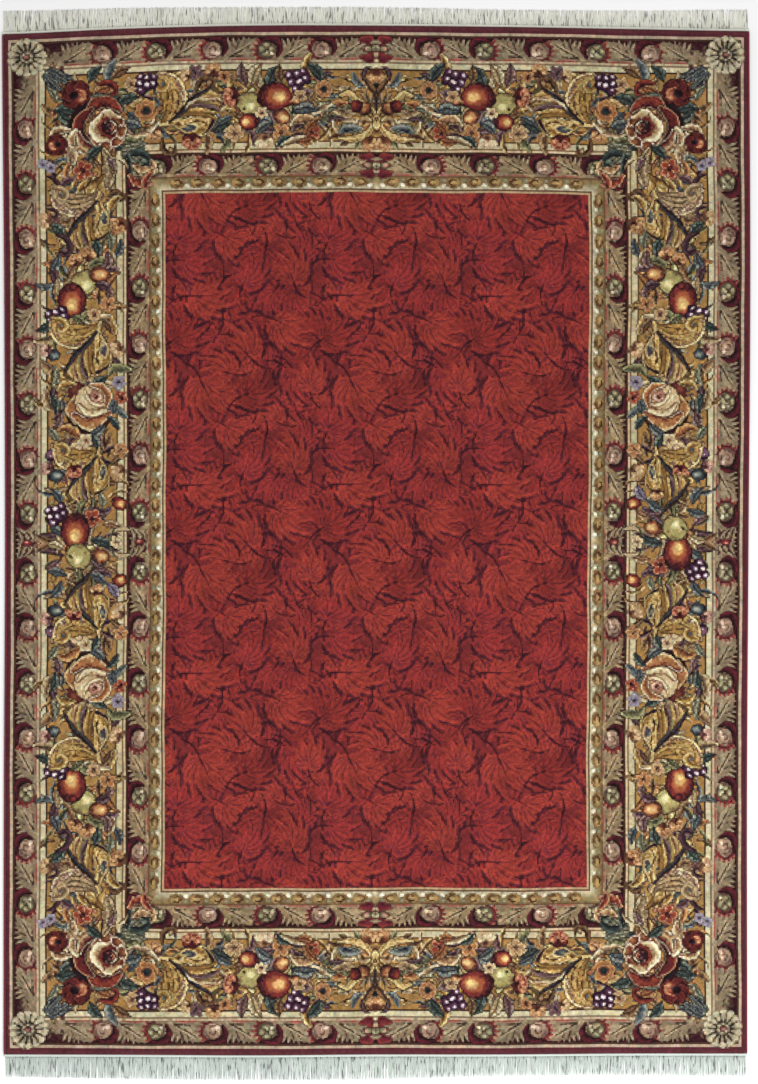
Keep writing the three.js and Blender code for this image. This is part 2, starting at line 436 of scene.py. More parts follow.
def end_pen(cartoon, start, squeeze, place):
    """A pen for the top band that starts so deep, so far before its middle."""
    return Pen(cartoon, (KNOTS_ACROSS / 2 - place, start), ((1, 0), (0, squeeze)))


def side_pen(cartoon, start, squeeze, place):
    """A pen for the left band that starts so deep, so far above its middle."""
    at = start * SIDE_SQUEEZE, KNOTS_ALONG / 2 - place
    return Pen(cartoon, at, ((0, 1), (squeeze * SIDE_SQUEEZE, 0)))


def guard_leaf(pen, warm):
    """The taupe leaf that runs from one rosette to the next, spiked outwards."""
    light = LEAF_LIGHT * (1 - warm) + WARM_LEAF_LIGHT * warm
    mid = LEAF_MID * (1 - warm) + WARM_LEAF_MID * warm
    for spike in (((19, 12), (15.5, 2)), ((23, 10), (20.5, 0.6)), ((27, 9), (26, 0.6)),
                  ((31, 8), (31.5, 0)), ((35, 7), (37, 0.6))):
        pen.ribbon(spike, (6, 4, 1), [mid, light * 0.94, LEAF_DARK], steps=3)
    pen.ribbon([(13, 20), (21, 16), (31, 10), (43, 5)], (8, 14, 14, 8), [mid, light, mid, mid, mid * 0.9])
    pen.ribbon([(24, 21), (33, 19), (43, 15)], (4, 8, 5), [mid * 0.9, mid, light * 0.96])
    for wide, *line in ((1.7, (19, 19), (29, 13), (40, 7)), (1.4, (18, 20), (25, 19), (34, 18.4)),
                        (0.9, (24, 12), (26, 7), (27, 3)), (0.9, (31, 10), (33, 5))):
        pen.ribbon(line, (wide, wide, 0.4), [LEAF_DARK * 0.85, LEAF_DARK])
    pen.ribbon([(20, 16.6), (30, 11), (39, 5)], (0.5, 1.3, 0.7), [LEAF_LIGHT * 1.06, LEAF_LIGHT])
    pen.ribbon([(20, 22.4), (31, 21.6), (42, 22.4)], (1.2, 2.6, 1.2), [RED_BRIGHT, BLUSH * 0.9])


def guard_crown(pen):
    """The red comb that hugs a rosette's top, its points edged in pink."""
    for turn in (118, 150, 180, 210, 242):
        spike = pen.moved((0, 12.4), turn * 0.7 + 54)
        spike.ribbon([(7.6, 0), (13.6, 0)], (5.4, 2.2), [RED, RED_BRIGHT, RED, MAROON], edge=(BLUSH, 0.5),
                     steps=3)
    pen.ribbon([(-1.6, 2.6), (-7.6, 6), (-9.6, 12.4), (-7.6, 18.6), (-2, 22)], (2, 3.4, 4, 3.4, 2),
               [MAROON, RED, RED])


def guard_rosette(pen, kind):
    """A small round flower with threads or four petals on it, and a glint."""
    light, mid, dark = BLOSSOM[kind]
    pen.oval((0, 12.2), (8.8, 8.6), [light, mid, mid, dark], edge=(MAROON, 0.6), light=(0.3, 0.4))
    if kind == "pink":
        for line in (((-6.4, 14), (-5, 8), (0.6, 5.6)), ((-2, 17.6), (3, 18), (6.4, 14)),
                     ((-2.6, 12), (0, 9.2), (3.6, 11), (2, 14))):
            pen.ribbon(line, (0.8, 1.8, 0.7), [dark, dark * 0.85])
    else:
        for centre, radii in (((0, 7.8), (4.6, 2.8)), ((-4.6, 12.6), (3, 4)), ((4.6, 12.6), (3, 4)),
                              ((0, 17), (4.8, 2.8))):
            pen.oval(centre, radii, [light, mid, dark], edge=(dark * 0.75, 0.7))
        pen.oval((0, 12.4), (2.2, 2), [dark, dark * 0.7])
    pen.oval((5.2, 16), (2.2, 1.8), [rgb(226, 208, 188), light])
    pen.oval((0.6, 14.6), (1.2, 1.0), [rgb(214, 196, 172), light])


def guard_scroll(pen):
    """The dark crimson scroll that closes round a rosette."""
    pen.ribbon([(-3, 2.6), (5, 2.2), (11.4, 5.6), (13, 12), (10.4, 18)], (2, 5.6, 7, 5.6, 1.6),
               [MAROON * 0.5, MAROON, WINE_BRIGHT], edge=(MAROON * 0.5, 0.3))


def guard_centre(pen):
    """The four-leaved flower where the two runs of a guard meet."""
    for side in (-1, 1):
        for drops in ((11, 4, 3), (14, 21, 21)):
            line = [(side * u, v) for u, v in zip((2, 6, 14), drops)]
            pen.ribbon(line, (5, 10, 5), [RED, WINE_BRIGHT, MAROON], edge=(MAROON, 0.8),
                       rim=(RED_BRIGHT, 0.6), teeth=3, bite=0.2, lobed=True)
        pen.oval((side * 7, 12.4), (6, 3), BLOSSOM["green"], edge=(MAROON, 0.6))
        pen.oval((side * 9.6, 12.4), (1.7, 1.5), [BLUSH * 1.2, BLUSH])
    pen.oval((0, 6), (5.4, 2.8), [LEAF_LIGHT, LEAF_MID, LEAF_DARK])
    pen.oval((0, 17), (3, 4.4), [BLUSH * 1.1, LEAF_LIGHT, LEAF_DARK])
    pen.oval((0, 12), (4, 3.8), BLOSSOM["green"][:2] + [LEAF_DARK], edge=(MAROON, 0.6))
    pen.oval((0, 12), (1.6, 1.4), [rgb(96, 104, 100), LEAF_DARK])


def guard_fan(pen):
    """The fan of strands where the two runs of a side guard meet."""
    for side in (-1, 1):
        for wide, *line in ((4.0, (0, 6), (9, 4), (16, 1)), (4.6, (0, 12), (8, 10), (15, 4)),
                            (4.6, (0, 18), (7, 17), (12, 11)), (2.6, (0, 21), (9, 21))):
            pen.ribbon([(side * u, v) for u, v in line], (1.4, wide, 1),
                       [MAROON, LEAF_DARK, LEAF_LIGHT, LEAF_MID])
    pen.oval((0, 13), (3, 5), [BLUSH * 1.1, RED, MAROON], edge=(MAROON, 0.8))


def guard_band(cartoon, start, depth, warm, top_places, side_places):
    """One guard border: its ground, then a unit for each place from the middle."""
    squeeze = depth / GUARD_DEPTH
    lay_ground(cartoon, start, depth, BAND_SHADES, True)
    units = [(end_pen(cartoon, start, squeeze, place), i) for i, place in enumerate(top_places)]
    units += [(side_pen(cartoon, start, squeeze, place), i + 1) for i, place in enumerate(side_places)]
    for pen, turn in units:
        guard_leaf(pen, warm)
    for pen, turn in units:
        guard_crown(pen)
        guard_rosette(pen, ("pink", "green")[turn % 2])
        guard_scroll(pen)


def bead(pen):
    """One bead: a gold oval with dark darts, a white pearl and a green one."""
    pen.oval((0, 4.6), (7.4, 4.4), BEAD_GOLD, edge=(rgb(96, 76, 50), 0.4))
    pen.ribbon([(-3.4, 2.6), (1, 1.8), (4.4, 4.2)], (0.8, 2.2, 1.8), [rgb(80, 50, 32)], steps=3)
    pen.ribbon([(-2.6, 6.4), (1, 7.2), (4.4, 5)], (0.8, 2.0, 1.6), [rgb(96, 66, 40)], steps=3)
    pen.oval((9.6, 8.0), (2.8, 2.3), PEARL)
    pen.oval((9.4, 3.0), (2.4, 1.8), [rgb(140, 142, 112), rgb(112, 100, 72)])


def bead_band(cartoon, start, depth, pitch):
    """The band of beads next to the field."""
    lay_ground(cartoon, start, depth, BEAD_SHADES, False)
    runs = (end_pen, KNOTS_ACROSS / 2 - start * SIDE_SQUEEZE), (side_pen, KNOTS_ALONG / 2 - start)
    for band_pen, reach in runs:
        for i in range(int((reach - depth) / pitch + 0.4)):
            bead(band_pen(cartoon, start, depth / BEAD_DEPTH, (i + 0.75) * pitch))


def tones(*colours):
    """Wool colours of a motif, from its lights to its darkest shade."""
    return [rgb(*colour) for colour in colours]


STRAW = tones((214, 190, 132), (164, 124, 60), (116, 78, 38), (62, 38, 26))
TAN = tones((200, 178, 138), (156, 128, 90), (108, 82, 58), (58, 38, 28))
BROWN = tones((172, 140, 100), (124, 88, 56), (84, 54, 38), (42, 26, 24))
MOSS = tones((162, 156, 108), (112, 110, 74), (74, 72, 50), (38, 36, 32))
SAGE = tones((176, 174, 140), (128, 130, 104), (88, 88, 70), (44, 42, 38))
TEAL = tones((118, 130, 114), (68, 82, 76), (40, 49, 48), (22, 25, 29))
SLATE = tones((140, 146, 138), (90, 98, 98), (54, 60, 66), (28, 30, 38))
RUST = tones((204, 158, 98), (158, 96, 54), (112, 58, 38), (56, 28, 24))
IVORY = tones((222, 210, 172), (186, 166, 122), (140, 112, 78), (76, 54, 40))
MAUVE = tones((170, 142, 128), (126, 94, 88), (88, 58, 60), (44, 26, 34))
PLUM = tones((140, 112, 112), (92, 60, 66), (60, 34, 44), (34, 18, 28))
APPLE = tones((224, 184, 112), (170, 84, 50), (122, 38, 38), (50, 20, 26))
APRICOT = tones((222, 188, 124), (186, 126, 74), (136, 72, 48), (62, 32, 28))
LIME = tones((214, 206, 150), (160, 148, 88), (112, 92, 56), (54, 40, 30))
AMBER = tones((210, 174, 122), (166, 104, 60), (116, 62, 40), (54, 26, 24))
CRIMSON = tones((204, 146, 104), (142, 54, 38), (94, 30, 32), (42, 16, 22))
PEACH = tones((214, 188, 142), (172, 130, 88), (124, 82, 56), (58, 34, 28))
CREAM = tones((222, 212, 174), (192, 166, 122), (146, 102, 70), (72, 42, 36))
PINK = tones((208, 172, 150), (172, 120, 104), (124, 70, 66), (60, 28, 34))
LILAC = tones((186, 178, 186), (134, 122, 142), (88, 76, 100), (44, 34, 54))
CHALK = tones((178, 168, 140), (134, 122, 98), (80, 70, 56), (34, 28, 28))
GRAPE = tones((212, 196, 206), (116, 76, 100), (72, 36, 62), (36, 16, 34))


def around(count, radius, start=0.0):
    """Turns and places spaced evenly round a middle."""
    for k in range(count):
        turn = start + 360 * k / count
        angle = math.radians(turn)
        yield turn, (radius * math.cos(angle), radius * math.sin(angle))


def leaf(pen, light, mid, dark, deep):
    """A toothed leaf, 20 long from the pen's place."""
    pen.ribbon([(0, 0), (10, -2), (20, 0)], (2, 10, 9, 0.6), [dark, mid, dark, mid, light],
               edge=(deep, 0.7), teeth=4, bite=0.22, veins=(5, deep, 0.6))


def blade(pen, light, mid, dark, deep):
    """A long plain leaf with stripes, 20 long and bent."""
    pen.ribbon([(0, 0), (7, -2.5), (14, -2), (20, 2)], (2, 6, 6, 1),
               [deep, mid, dark, light, dark, mid, deep, mid, light], edge=(deep, 0.5))


def strand(pen, light, mid, dark, deep):
    """A thin curling leaf edge, 20 long."""
    pen.ribbon([(0, 0), (8, -1.5), (16, 0), (20, 4)], (2.4, 4, 3, 0.6), [deep, dark, light])


def hook(pen, light, mid, dark, deep):
    """A dark tendril that curls over at its tip."""
    pen.ribbon([(0, 0), (7, -4), (13, -3), (16, 2), (12, 5)], (1.4, 4, 4.6, 4, 1.6), [deep, dark, mid],
               edge=(deep, 0.4))
    pen.oval((12.5, 1.0), (2.0, 1.7), [light, mid], edge=(deep, 0.3))


def fruit(pen, light, mid, dark, deep):
    """A round fruit, 22 wide, lit from within."""
    pen.oval((0, 0), (11, 9), [mid, dark, dark, deep], edge=(deep, 0.8), light=(0.2, 0))
    pen.oval((1.8, 0), (8.6, 6.4), [light * 0.4 + mid * 0.6, mid, mid * 0.9 + dark * 0.1], light=(0.2, 0),
             fade=1.6)
    pen.oval((3, 0), (5.4, 4.4), [light, light * 0.6 + mid * 0.4], light=(0, 0), fade=1.8)
    pen.oval((4.4, 0.4), (2, 2), [light * 1.06], fade=0.8)
    pen.ribbon([(-8, -4), (-6.6, 0), (-8, 4)], (0.6, 1.8, 0.6), [deep, dark])


def quince(pen, light, mid, dark, deep):
    """A pale round fruit, 22 wide, with a short neck."""
    pen.ribbon([(0, -4), (0.6, -9), (2, -12)], (14, 9, 5), [dark, mid, light, mid], edge=(deep, 0.8))
    pen.oval((0, 0.6), (11, 10.4), [light, mid, mid, dark], light=(0.1, 0.3), edge=(deep, 0.8))
    pen.oval((2, 3.4), (5, 4.4), [light * 1.04, light * 0.8 + mid * 0.2], light=(0, 0), fade=2.4)
    pen.oval((-4.6, 6.4), (1.8, 1.4), [deep, dark])


def berries(pen, light, mid, dark, deep):
    """A bunch of berries, 20 across, each with its glint."""
    for u, v in ((5, -6), (-7, -3), (0, -4), (7, 0), (-5, 3), (2, 3), (-2, 9)):
        pen.oval((u, v), (4.2, 4.0), [mid, dark, deep], edge=(deep, 0.6))
        pen.oval((u - 1.1, v - 1.3), (1.5, 1.2), [light, light])


def plums(pen, light, mid, dark, deep):
    """Two plums side by side, 22 wide."""
    for u, v in ((5, -2.5), (-4, 2.5)):
        pen.oval((u, v), (6.4, 5.8), [mid, mid, dark, deep], edge=(deep, 0.8))
        pen.oval((u - 1.5, v + 1), (2.2, 1.8), [light, mid], fade=1)


def blossom(pen, light, mid, dark, deep):
    """A small open flower of five petals."""
    for turn, at in around(5, 5.4, 20):
        pen.oval(at, (4.8, 4.0), [mid, mid, dark], turn=turn, edge=(deep, 0.6), rim=(light, 0.9),
                 light=(0.4, 0))
    pen.oval((0, 0), (2.8, 2.6), [dark, deep])


def cup(pen, light, mid, dark, deep):
    """A ruffled flower seen from its side, its throat dark."""
    pen.oval((0, -1), (9, 7), [deep, dark, mid], edge=(deep, 0.8), light=(0.1, -0.4))
    for u, v, turn in ((-6, 2, -40), (-2, 5, -10), (3, 5, 20), (7, 1, 60)):
        pen.oval((u, v), (4.6, 3.4), [light, mid, dark], turn=turn, rim=(light, 0.8), edge=(dark, 0.4))


def marigold(pen, light, mid, dark, deep):
    """A round flower of wide scallops about a ringed eye."""
    for turn, at in around(7, 6.6, 10):
        pen.oval(at, (4.4, 4.6), [mid, mid, dark], turn=turn, edge=(deep, 0.5), rim=(light, 0.8),
                 light=(0.5, 0))
    pen.oval((0, 0), (6.2, 5.9), [mid, dark, dark], rim=(light, 0.6), edge=(dark, 0.4))
    pen.oval((0, 0), (3.4, 3.3), [TEAL[3], TEAL[2]])


def poppy(pen, light, mid, dark, deep):
    """A wide cup of a flower: one side in shade, the other lit from within."""
    for turn, at in around(6, 5.2, 8):
        pen.oval(at, (5.6, 5.0), [dark, dark, deep], turn=turn, edge=(deep, 0.8), rim=(mid, 0.5))
    pen.oval((2.6, 1.4), (5.4, 5.4), [light, mid, dark], light=(0.4, 0.3), fade=2)
    pen.ribbon([(1, -4), (6, -2), (7, 3)], (1, 2.4, 1), [light, mid])
    pen.oval((-1.6, 0.6), (3.6, 3.2), [deep * 0.6, deep, SLATE[2]])


def red_rose(pen, light, mid, dark, deep):
    """An open rose, 40 wide: red petals behind, rust ones round it, a pale lobed cup and a plum heart."""
    pale, cream, tan, umber = CREAM
    pen.ribbon([(-12, -28), (-28, -14), (-30, 4), (-20, 15)], (10, 17, 16, 9), [deep, TEAL[3], deep])
    pen.ribbon([(-20, -14), (-12, -26), (2, -28), (12, -20)], (8, 13, 12, 6), [deep, dark, mid, dark],
               edge=(deep, 0.8), rim=(cream, 0.7))
    pen.ribbon([(-16, -22), (-26, -12), (-28, 0), (-21, 10)], (5, 12, 13, 8), [mid, dark, dark, deep],
               edge=(deep, 0.8), rim=(cream, 0.7))
    pen.ribbon([(-29, 2), (-24, 13), (-12, 18)], (5, 11, 7), [cream, tan, dark, deep], edge=(deep, 0.8),
               rim=(pale, 0.8))
    pen.oval((0, 1), (17.4, 19), [mid, dark, dark], edge=(deep, 1))
    for u, v, turn in ((-11, 10, 60), (-1, 15.4, 5), (9.4, 11.6, -45), (14, 1, -80), (10, -9, 30)):
        pen.oval((u, v), (8.4, 5.4), [RUST[1], RUST[2], dark], turn=turn, edge=(umber, 0.5),
                 rim=(pale, 1.1), light=(0, 0.5))
    pen.ribbon([(-9, -12), (0, -17), (12, -12)], (4, 8.6, 3), [tan, cream, pale], edge=(dark, 0.6),
               teeth=3, bite=0.18, lobed=True)
    pen.ribbon([(-6, -15), (-14, -4), (-10, 7), (1, 10)], (4, 9.6, 10, 3.4), [pale, pale, cream, tan],
               edge=(dark, 0.6), teeth=4, bite=0.2, lobed=True)
    pen.ribbon([(-10.4, -6), (-7.6, 1), (-2, 6)], (0.4, 1.5, 0.4), [tan, umber])
    pen.oval((2.6, -2.6), (7.8, 7.2), [PLUM[2], deep, dark], edge=(deep, 0.8))
    pen.ribbon([(-2, -8), (4, -9), (8.6, -4), (7.6, 2), (3, 4)], (0.6, 1.5, 1.1, 1.6, 0.5), [pale, cream],
               teeth=5, bite=0.4)
    pen.ribbon([(4, -6), (6.2, -2.4), (4, 1.4)], (0.8, 2.6, 0.8), [mid, light, dark])
    for u, v in ((1.4, -5), (3.4, -1.4), (0, 0.8)):
        pen.oval((u, v), (1.2, 1), PINK[1:3])


def pale_rose(pen, light, mid, dark, deep):
    """A full rose, 42 wide: a cream ball held by peach petals, its heart at the upper right."""
    pale, cream, tan, umber = CREAM
    pen.ribbon([(-24, 2), (-18, 19), (2, 27), (19, 18)], (6, 15, 16, 4), [deep, deep, dark])
    pen.oval((-15, -9), (9, 10), [dark, CRIMSON[2], deep], edge=(deep, 0.8))
    pen.ribbon([(-16, -4), (-21, 8), (-15, 19)], (6, 13, 9), [light, mid, mid, dark], edge=(deep, 0.8),
               rim=(light, 0.7))
    pen.ribbon([(-19, 14), (-3, 23), (17, 13)], (7, 15, 6), [light, mid, mid, dark, CRIMSON[2]],
               edge=(deep, 0.8), rim=(pale, 0.9), teeth=6, bite=0.1, lobed=True)
    pen.oval((-2, 0), (15.4, 16), [pale, cream, cream, tan], light=(-0.3, -0.1), edge=(umber, 0.9))
    pen.ribbon([(-2, -16), (8, -14), (15.6, -5), (13, 7)], (4, 8, 8, 3), [tan, dark, mid, light],
               edge=(deep, 0.8), rim=(pale, 0.8))
    pen.ribbon([(-14, 3), (-4, 12), (13, 10)], (3, 8, 4), [cream, pale, cream, tan], edge=(umber, 0.5))
    pen.ribbon([(-8, -12), (-5.4, -5), (2, 3), (12, 4)], (1, 4.4, 5, 1), [cream, pale, tan],
               edge=(umber, 0.4))
    pen.oval((3.6, -4.4), (5.8, 5.6), [dark, PINK[1], PINK[0]], edge=(dark, 0.8))
    pen.oval((3.6, -4), (2.6, 2.4), [deep, dark])


def ruff(pen, light, mid, dark, deep):
    """A turned-over ruffle of petals, 20 long."""
    pen.ribbon([(0, 0), (6, -3), (13, -2), (20, 1)], (3, 8, 8, 3), [deep, dark, mid, light], teeth=5,
               bite=0.25, lobed=True, edge=(deep, 0.6), rim=(light, 0.7))


def acanthus(pen, light, mid, dark, deep):
    """A plume of nested lobes, 40 long, each edged pale."""
    for k, (reach, rise) in enumerate(((40, 8), (37, -1), (32, -9), (24, -13), (20, 10))):
        line = [(0, 0), (reach * 0.4, rise * 0.2 - 3), (reach * 0.8, rise * 0.8 - 2), (reach, rise + 2)]
        pen.ribbon(line, (3, 8, 7, 1), ([light, mid, mid, dark], [light, mid, dark, deep])[k % 2],
                   edge=(deep, 0.4), teeth=3, bite=0.2, lobed=True)
    pen.ribbon([(0, 0), (14, -2), (26, 0)], (0.8, 1.6, 0.5), [deep, dark])


def curl(pen, light, mid, dark, deep):
    """A great leaf curled like a wave, 48 long, rolled up at its tip."""
    pen.ribbon([(0, 0), (12, 8), (27, 10), (41, 3), (46, -9)], (5, 18, 24, 20, 5),
               [light, PLUM[1], mid, mid * 0.5 + light * 0.5, mid, dark, mid, mid], edge=(deep, 0.9))
    for rise, wide in ((-6, 1.6), (-1, 0.9), (4, 1.2)):
        pen.ribbon([(4, 2 + rise * 0.4), (14, 8 + rise), (27, 10 + rise), (36, 6 + rise * 0.7)],
                   (0.4, wide, wide, 0.4), [deep, dark])
    pen.ribbon([(2, 4), (11, 15.6), (27, 21), (44, 13), (50, -4)], (0.6, 1.6, 1.7, 1.6, 0.6), [light])
    pen.ribbon([(46, -8), (38, -7), (33, -1), (37, 4), (42, 1)], (2, 4.4, 5, 4, 1.6), [light, mid, dark],
               edge=(deep, 0.4))
    pen.oval((38.6, -1), (1.9, 1.7), SLATE[1:3])


def strands(pen, light, mid, dark, deep):
    """Long ends of a leaf that hang side by side from a dark rib, 32 wide."""
    shades = ([mid, dark], [light, mid, dark], [PLUM[0], PLUM[2]], [light, mid, MOSS[1]],
              PEACH[:3], [light, mid], [dark, MOSS[2], dark], [mid, light, dark])
    for k, shade in enumerate(shades):
        u, v = 11 - 4 * k, -11 + 4.6 * k
        drop = 31 - v - 1.4 * abs(k - 4)
        sway = (0, 1.4, -0.6, 0.8)[k % 4]
        line = [(u, v), (u - 3.4, v + drop * 0.3), (u - 2.6 + sway, v + drop * 0.7),
                (u + 1.6 - sway, v + drop)]
        pen.ribbon(line, (1.4, 4.4 + sway, 4.8 - sway, 1), shade, edge=(dark * 0.7, 0.5))
    pen.ribbon([(15, -17), (6, -6), (-7, 6), (-18, 23)], (2.4, 6.4, 5.4, 1.6),
               [deep, PLUM[3], SLATE[2], deep])


def scroll(pen, *wools):
    """A curled leaf, the strands that hang from it and a gold leaf rolled round an eye, 52 wide."""
    light, mid, dark, deep = STRAW
    curl(pen.moved((18, -23), 180, 1.0, True), *wools)
    pen.ribbon([(8, 4), (9, 14), (4, 24)], (4, 10, 6), [deep, PLUM[3], deep])
    pen.ribbon([(18, -27), (15.6, -14), (19, -2), (20, 10), (12, 23)], (1, 6, 14, 18, 7),
               [mid, mid, light, mid, dark, mid], edge=(deep, 0.8), rim=(light, 0.9))
    pen.ribbon([(17, -16), (18, -2), (14.6, 8), (17, 16)], (0.6, 2.2, 1.6, 0.6), [deep, dark])
    pen.ribbon([(22, -9), (27, 4), (23, 15)], (0.4, 1.4, 0.4), [dark])
    pen.oval((21.4, 1), (3.2, 6.4), [SAGE[1], SLATE[2], PLUM[1]], edge=(light, 0.8))
    pen.ribbon([(2, 13), (11, 22.6), (23, 18), (27, 12)], (1, 4.2, 3.4, 0.8), [PLUM[2], PLUM[3], dark],
               edge=(light, 0.4))
    strands(pen, *STRAW)


def shell(pen, light, mid, dark, deep):
    """A shell rosette: a ruffled pale rim, dark rays and a pink heart."""
    pen.oval((0, 0), (17.6, 16.8), [mid, light], edge=(deep, 1.2))
    for turn, at in around(14, 15.2, 15):
        pen.oval(at, (4.2, 4.4), [light, light, mid], turn=turn, edge=(dark, 0.4), light=(0.5, 0))
    pen.oval((0, 0), (13.6, 13.0), [mid, mid, light])
    for turn, at in around(14, 10, 2):
        pen.ribbon([(at[0] * 0.5, at[1] * 0.5), (at[0] * 1.5, at[1] * 1.5)], (3.2, 0.8),
                   [deep, dark * 0.8], steps=3)
    pen.oval((0, 0), (6.8, 6.4), [dark, mid, deep], edge=(deep, 0.9))
    for turn, at in around(6, 4.4, 40):
        pen.oval(at, (2.2, 1.7), [light, mid], turn=turn, edge=(dark, 0.4))
    pen.oval((0, 0), (3, 2.8), PINK[1:], edge=(deep, 0.4))


def pleats(pen, light, mid, dark, deep):
    """A pleated end of ribbon, 22 long, in narrow light and dark folds."""
    for v, bend in ((-6.4, -4), (6.2, 4), (-2.4, -2), (2.2, 2)):
        pen.ribbon([(0, v * 0.6), (9, v), (20, v + bend)], (5, 6.4, 3.4),
                   [deep, light, deep, mid, deep, light, dark], edge=(deep, 0.5))


UNDERGROWTH = (STRAW, TAN, RUST, PLUM, BROWN, MOSS, IVORY, STRAW, SLATE)


def undergrowth(cartoon, start, depth, gap):
    """Small leaves and threads strewn over the ground of the main border."""
    rng = np.random.default_rng(31)
    for y in np.arange(start, KNOTS_ALONG / 2 + gap, gap):
        for x in np.arange(start, KNOTS_ACROSS / 2 + gap, gap):
            u, v = x + rng.uniform(-0.5, 0.5) * gap, y + rng.uniform(-0.5, 0.5) * gap
            turn, size = rng.uniform(0, 360), rng.uniform(0.7, 1.2)
            kind, wool = rng.integers(4), rng.integers(len(UNDERGROWTH))
            if start + 4 < edge_distance(u, v) < start + depth - 4:
                motif = (strand, ruff, strand, blade)[kind]
                motif(Pen(cartoon).moved((u, v), turn, size), *UNDERGROWTH[wool])


def frond(pen, light, mid, dark, deep):
    """A broad feathered leaf, 36 long, lying over its own shade."""
    lobes = ((-80, 12), (80, 13), (-60, 19), (62, 18), (-40, 25), (42, 24), (-20, 31), (22, 30), (0, 35))
    for turn, reach in lobes:
        shade = pen.moved((0.8, 2.6), turn)
        shade.ribbon([(0, 0), (reach * 0.6, reach * 0.08), (reach + 1, 0)], (4, 10, 1), [deep, dark, dark],
                     steps=3, teeth=4, bite=0.4)
    for turn, reach in lobes:
        lobe = pen.moved((2, 0), turn)
        lobe.ribbon([(0, 0), (reach * 0.6, reach * 0.1), (reach, 0)], (4, 10, 0.8),
                    [mid, light, mid, light, mid], steps=3, teeth=3, bite=0.4)
    for turn, reach in lobes:
        vein = pen.moved((2, 0), turn)
        vein.ribbon([(3, 0), (reach * 0.5, reach * 0.09), (reach * 0.85, 0.6)], (0.3, 0.8, 0.3), [dark],
                    steps=3)
    pen.ribbon([(-14, 9), (-8, 3), (0, 0.4), (9, -0.6)], (0.8, 1.4, 1.2, 0.4), [deep])


def lyre(pen, light, mid, dark, deep):
    """The upright of the end borders' middle: a flaring stem between paired scrolls."""
    pen.ribbon([(0, 12), (0, -2), (0, -14)], (2, 5, 8), [BROWN[2], TEAL[3], BROWN[2]])
    for side in (-1, 1):
        pen.ribbon([(0, -6), (side * 5, -13), (side * 10, -19)], (3, 5, 3), BROWN[1:], edge=(deep, 0.8))
        pen.ribbon([(side * 36, -5), (side * 27, -7), (side * 19, 1), (side * 8, 6), (side * 2, 12)],
                   (2, 6, 7, 6, 2), [dark, mid, light, mid], edge=(deep, 0.8), rim=(light, 0.8))
        pen.ribbon([(side * 2, 22), (side * 9, 33), (side * 22, 39), (side * 38, 38)], (4, 6, 7, 2),
                   [mid, light, mid, dark], edge=(deep, 0.8), rim=(light, 0.8))
        pen.oval((side * 12, 8), (7, 6), AMBER, edge=(deep, 0.8))
        pen.oval((side * 20, 6), (6, 6), CRIMSON[1:], edge=(deep, 0.8))
        cup(pen.moved((side * 7, 43), side * 20, 0.8), *AMBER)
    cup(pen.moved((0, -25), 0, 0.8), *AMBER)
    pen.ribbon([(-3, 18), (0, 26), (3, 18)], (2, 5, 2), [light, mid], edge=(deep, 0.8))


FIELD_REPEAT = (150, 189)
FIELD_WOOLS = (
    tones((164, 55, 45), (145, 44, 39), (101, 33, 43), (58, 19, 28)),
    tones((156, 48, 45), (137, 38, 39), (95, 31, 44), (54, 19, 29)),
    tones((149, 46, 40), (129, 36, 36), (89, 29, 40), (52, 17, 27)),
)
FIELD_GROUND = rgb(118, 36, 38)
SMALL_FRONDS = 56
# across, down, turn, size, wool
LARGE_FRONDS = (
    (22, 30, -55, 1.25, 1), (68, 20, 40, 1.1, 0), (112, 34, 115, 1.3, 2), (140, 70, -100, 1.15, 0),
    (36, 80, 10, 1.35, 0), (88, 72, -60, 1.1, 1), (120, 104, 35, 1.3, 0), (66, 118, 130, 1.3, 1),
    (16, 126, -25, 1.2, 2), (98, 146, -125, 1.3, 0), (138, 152, 65, 1.15, 1), (46, 162, 75, 1.35, 0),
    (86, 182, -15, 1.1, 2), (6, 178, -90, 1.1, 0), (24, 44, 15, 1.1, 1), (80, 160, 205, 1.1, 0),
)
# Painted shade and light along each line, standing in for pile clipped along it: how many cells about a
# line it reaches and how deep it is laid.
EDGE_SHADING = ((2, 0.45), (5, 0.25))
TAN_TINT = rgb(272, 250, 204)
# Uneven wear and dye: strength, cells from bump to bump and seed.
WEAR = ((0.08, 2, 21), (0.06, 6, 22), (0.03, 40, 23))
DYE_UNEVENNESS = 0.035


def painted_edge_shading(colour, reach, depth):
    """Sets each tone off from those around it: painted shade and light along each line, standing in for
    pile clipped along it.
    """
    beside = sum(np.roll(colour, step, axis) for axis in (0, 1) for step in (-reach, reach)) / 4
    return colour + (colour - beside) * depth


def age(cartoon, cut, tan):
    """Painted shade and light along every line, as strong as cut says, setting tones apart; then time's
    work: a little faded, tanned and uneven.
    """
    size = cartoon.rows, cartoon.columns
    colour = cartoon.colour
    # painted shade and light along each line, standing in for clipped pile
    for reach, depth in EDGE_SHADING:
        colour = painted_edge_shading(colour, reach, depth * cut)
    colour = np.clip(colour, 0.02, 1)
    colour = colour * (1 - tan) + colour.mean(axis=2, keepdims=True) * TAN_TINT * tan
    wear = 1
    for strength, cells, seed in WEAR:
        wear = wear + strength * unevenness(*size, cells, seed)
    colour = colour * wear[..., None]
    for channel, seed in ((0, 24), (2, 25)):
        colour[..., channel] *= 1 + DYE_UNEVENNESS * unevenness(*size, 5, seed)
    cartoon.colour = np.clip(colour, 0, 1)


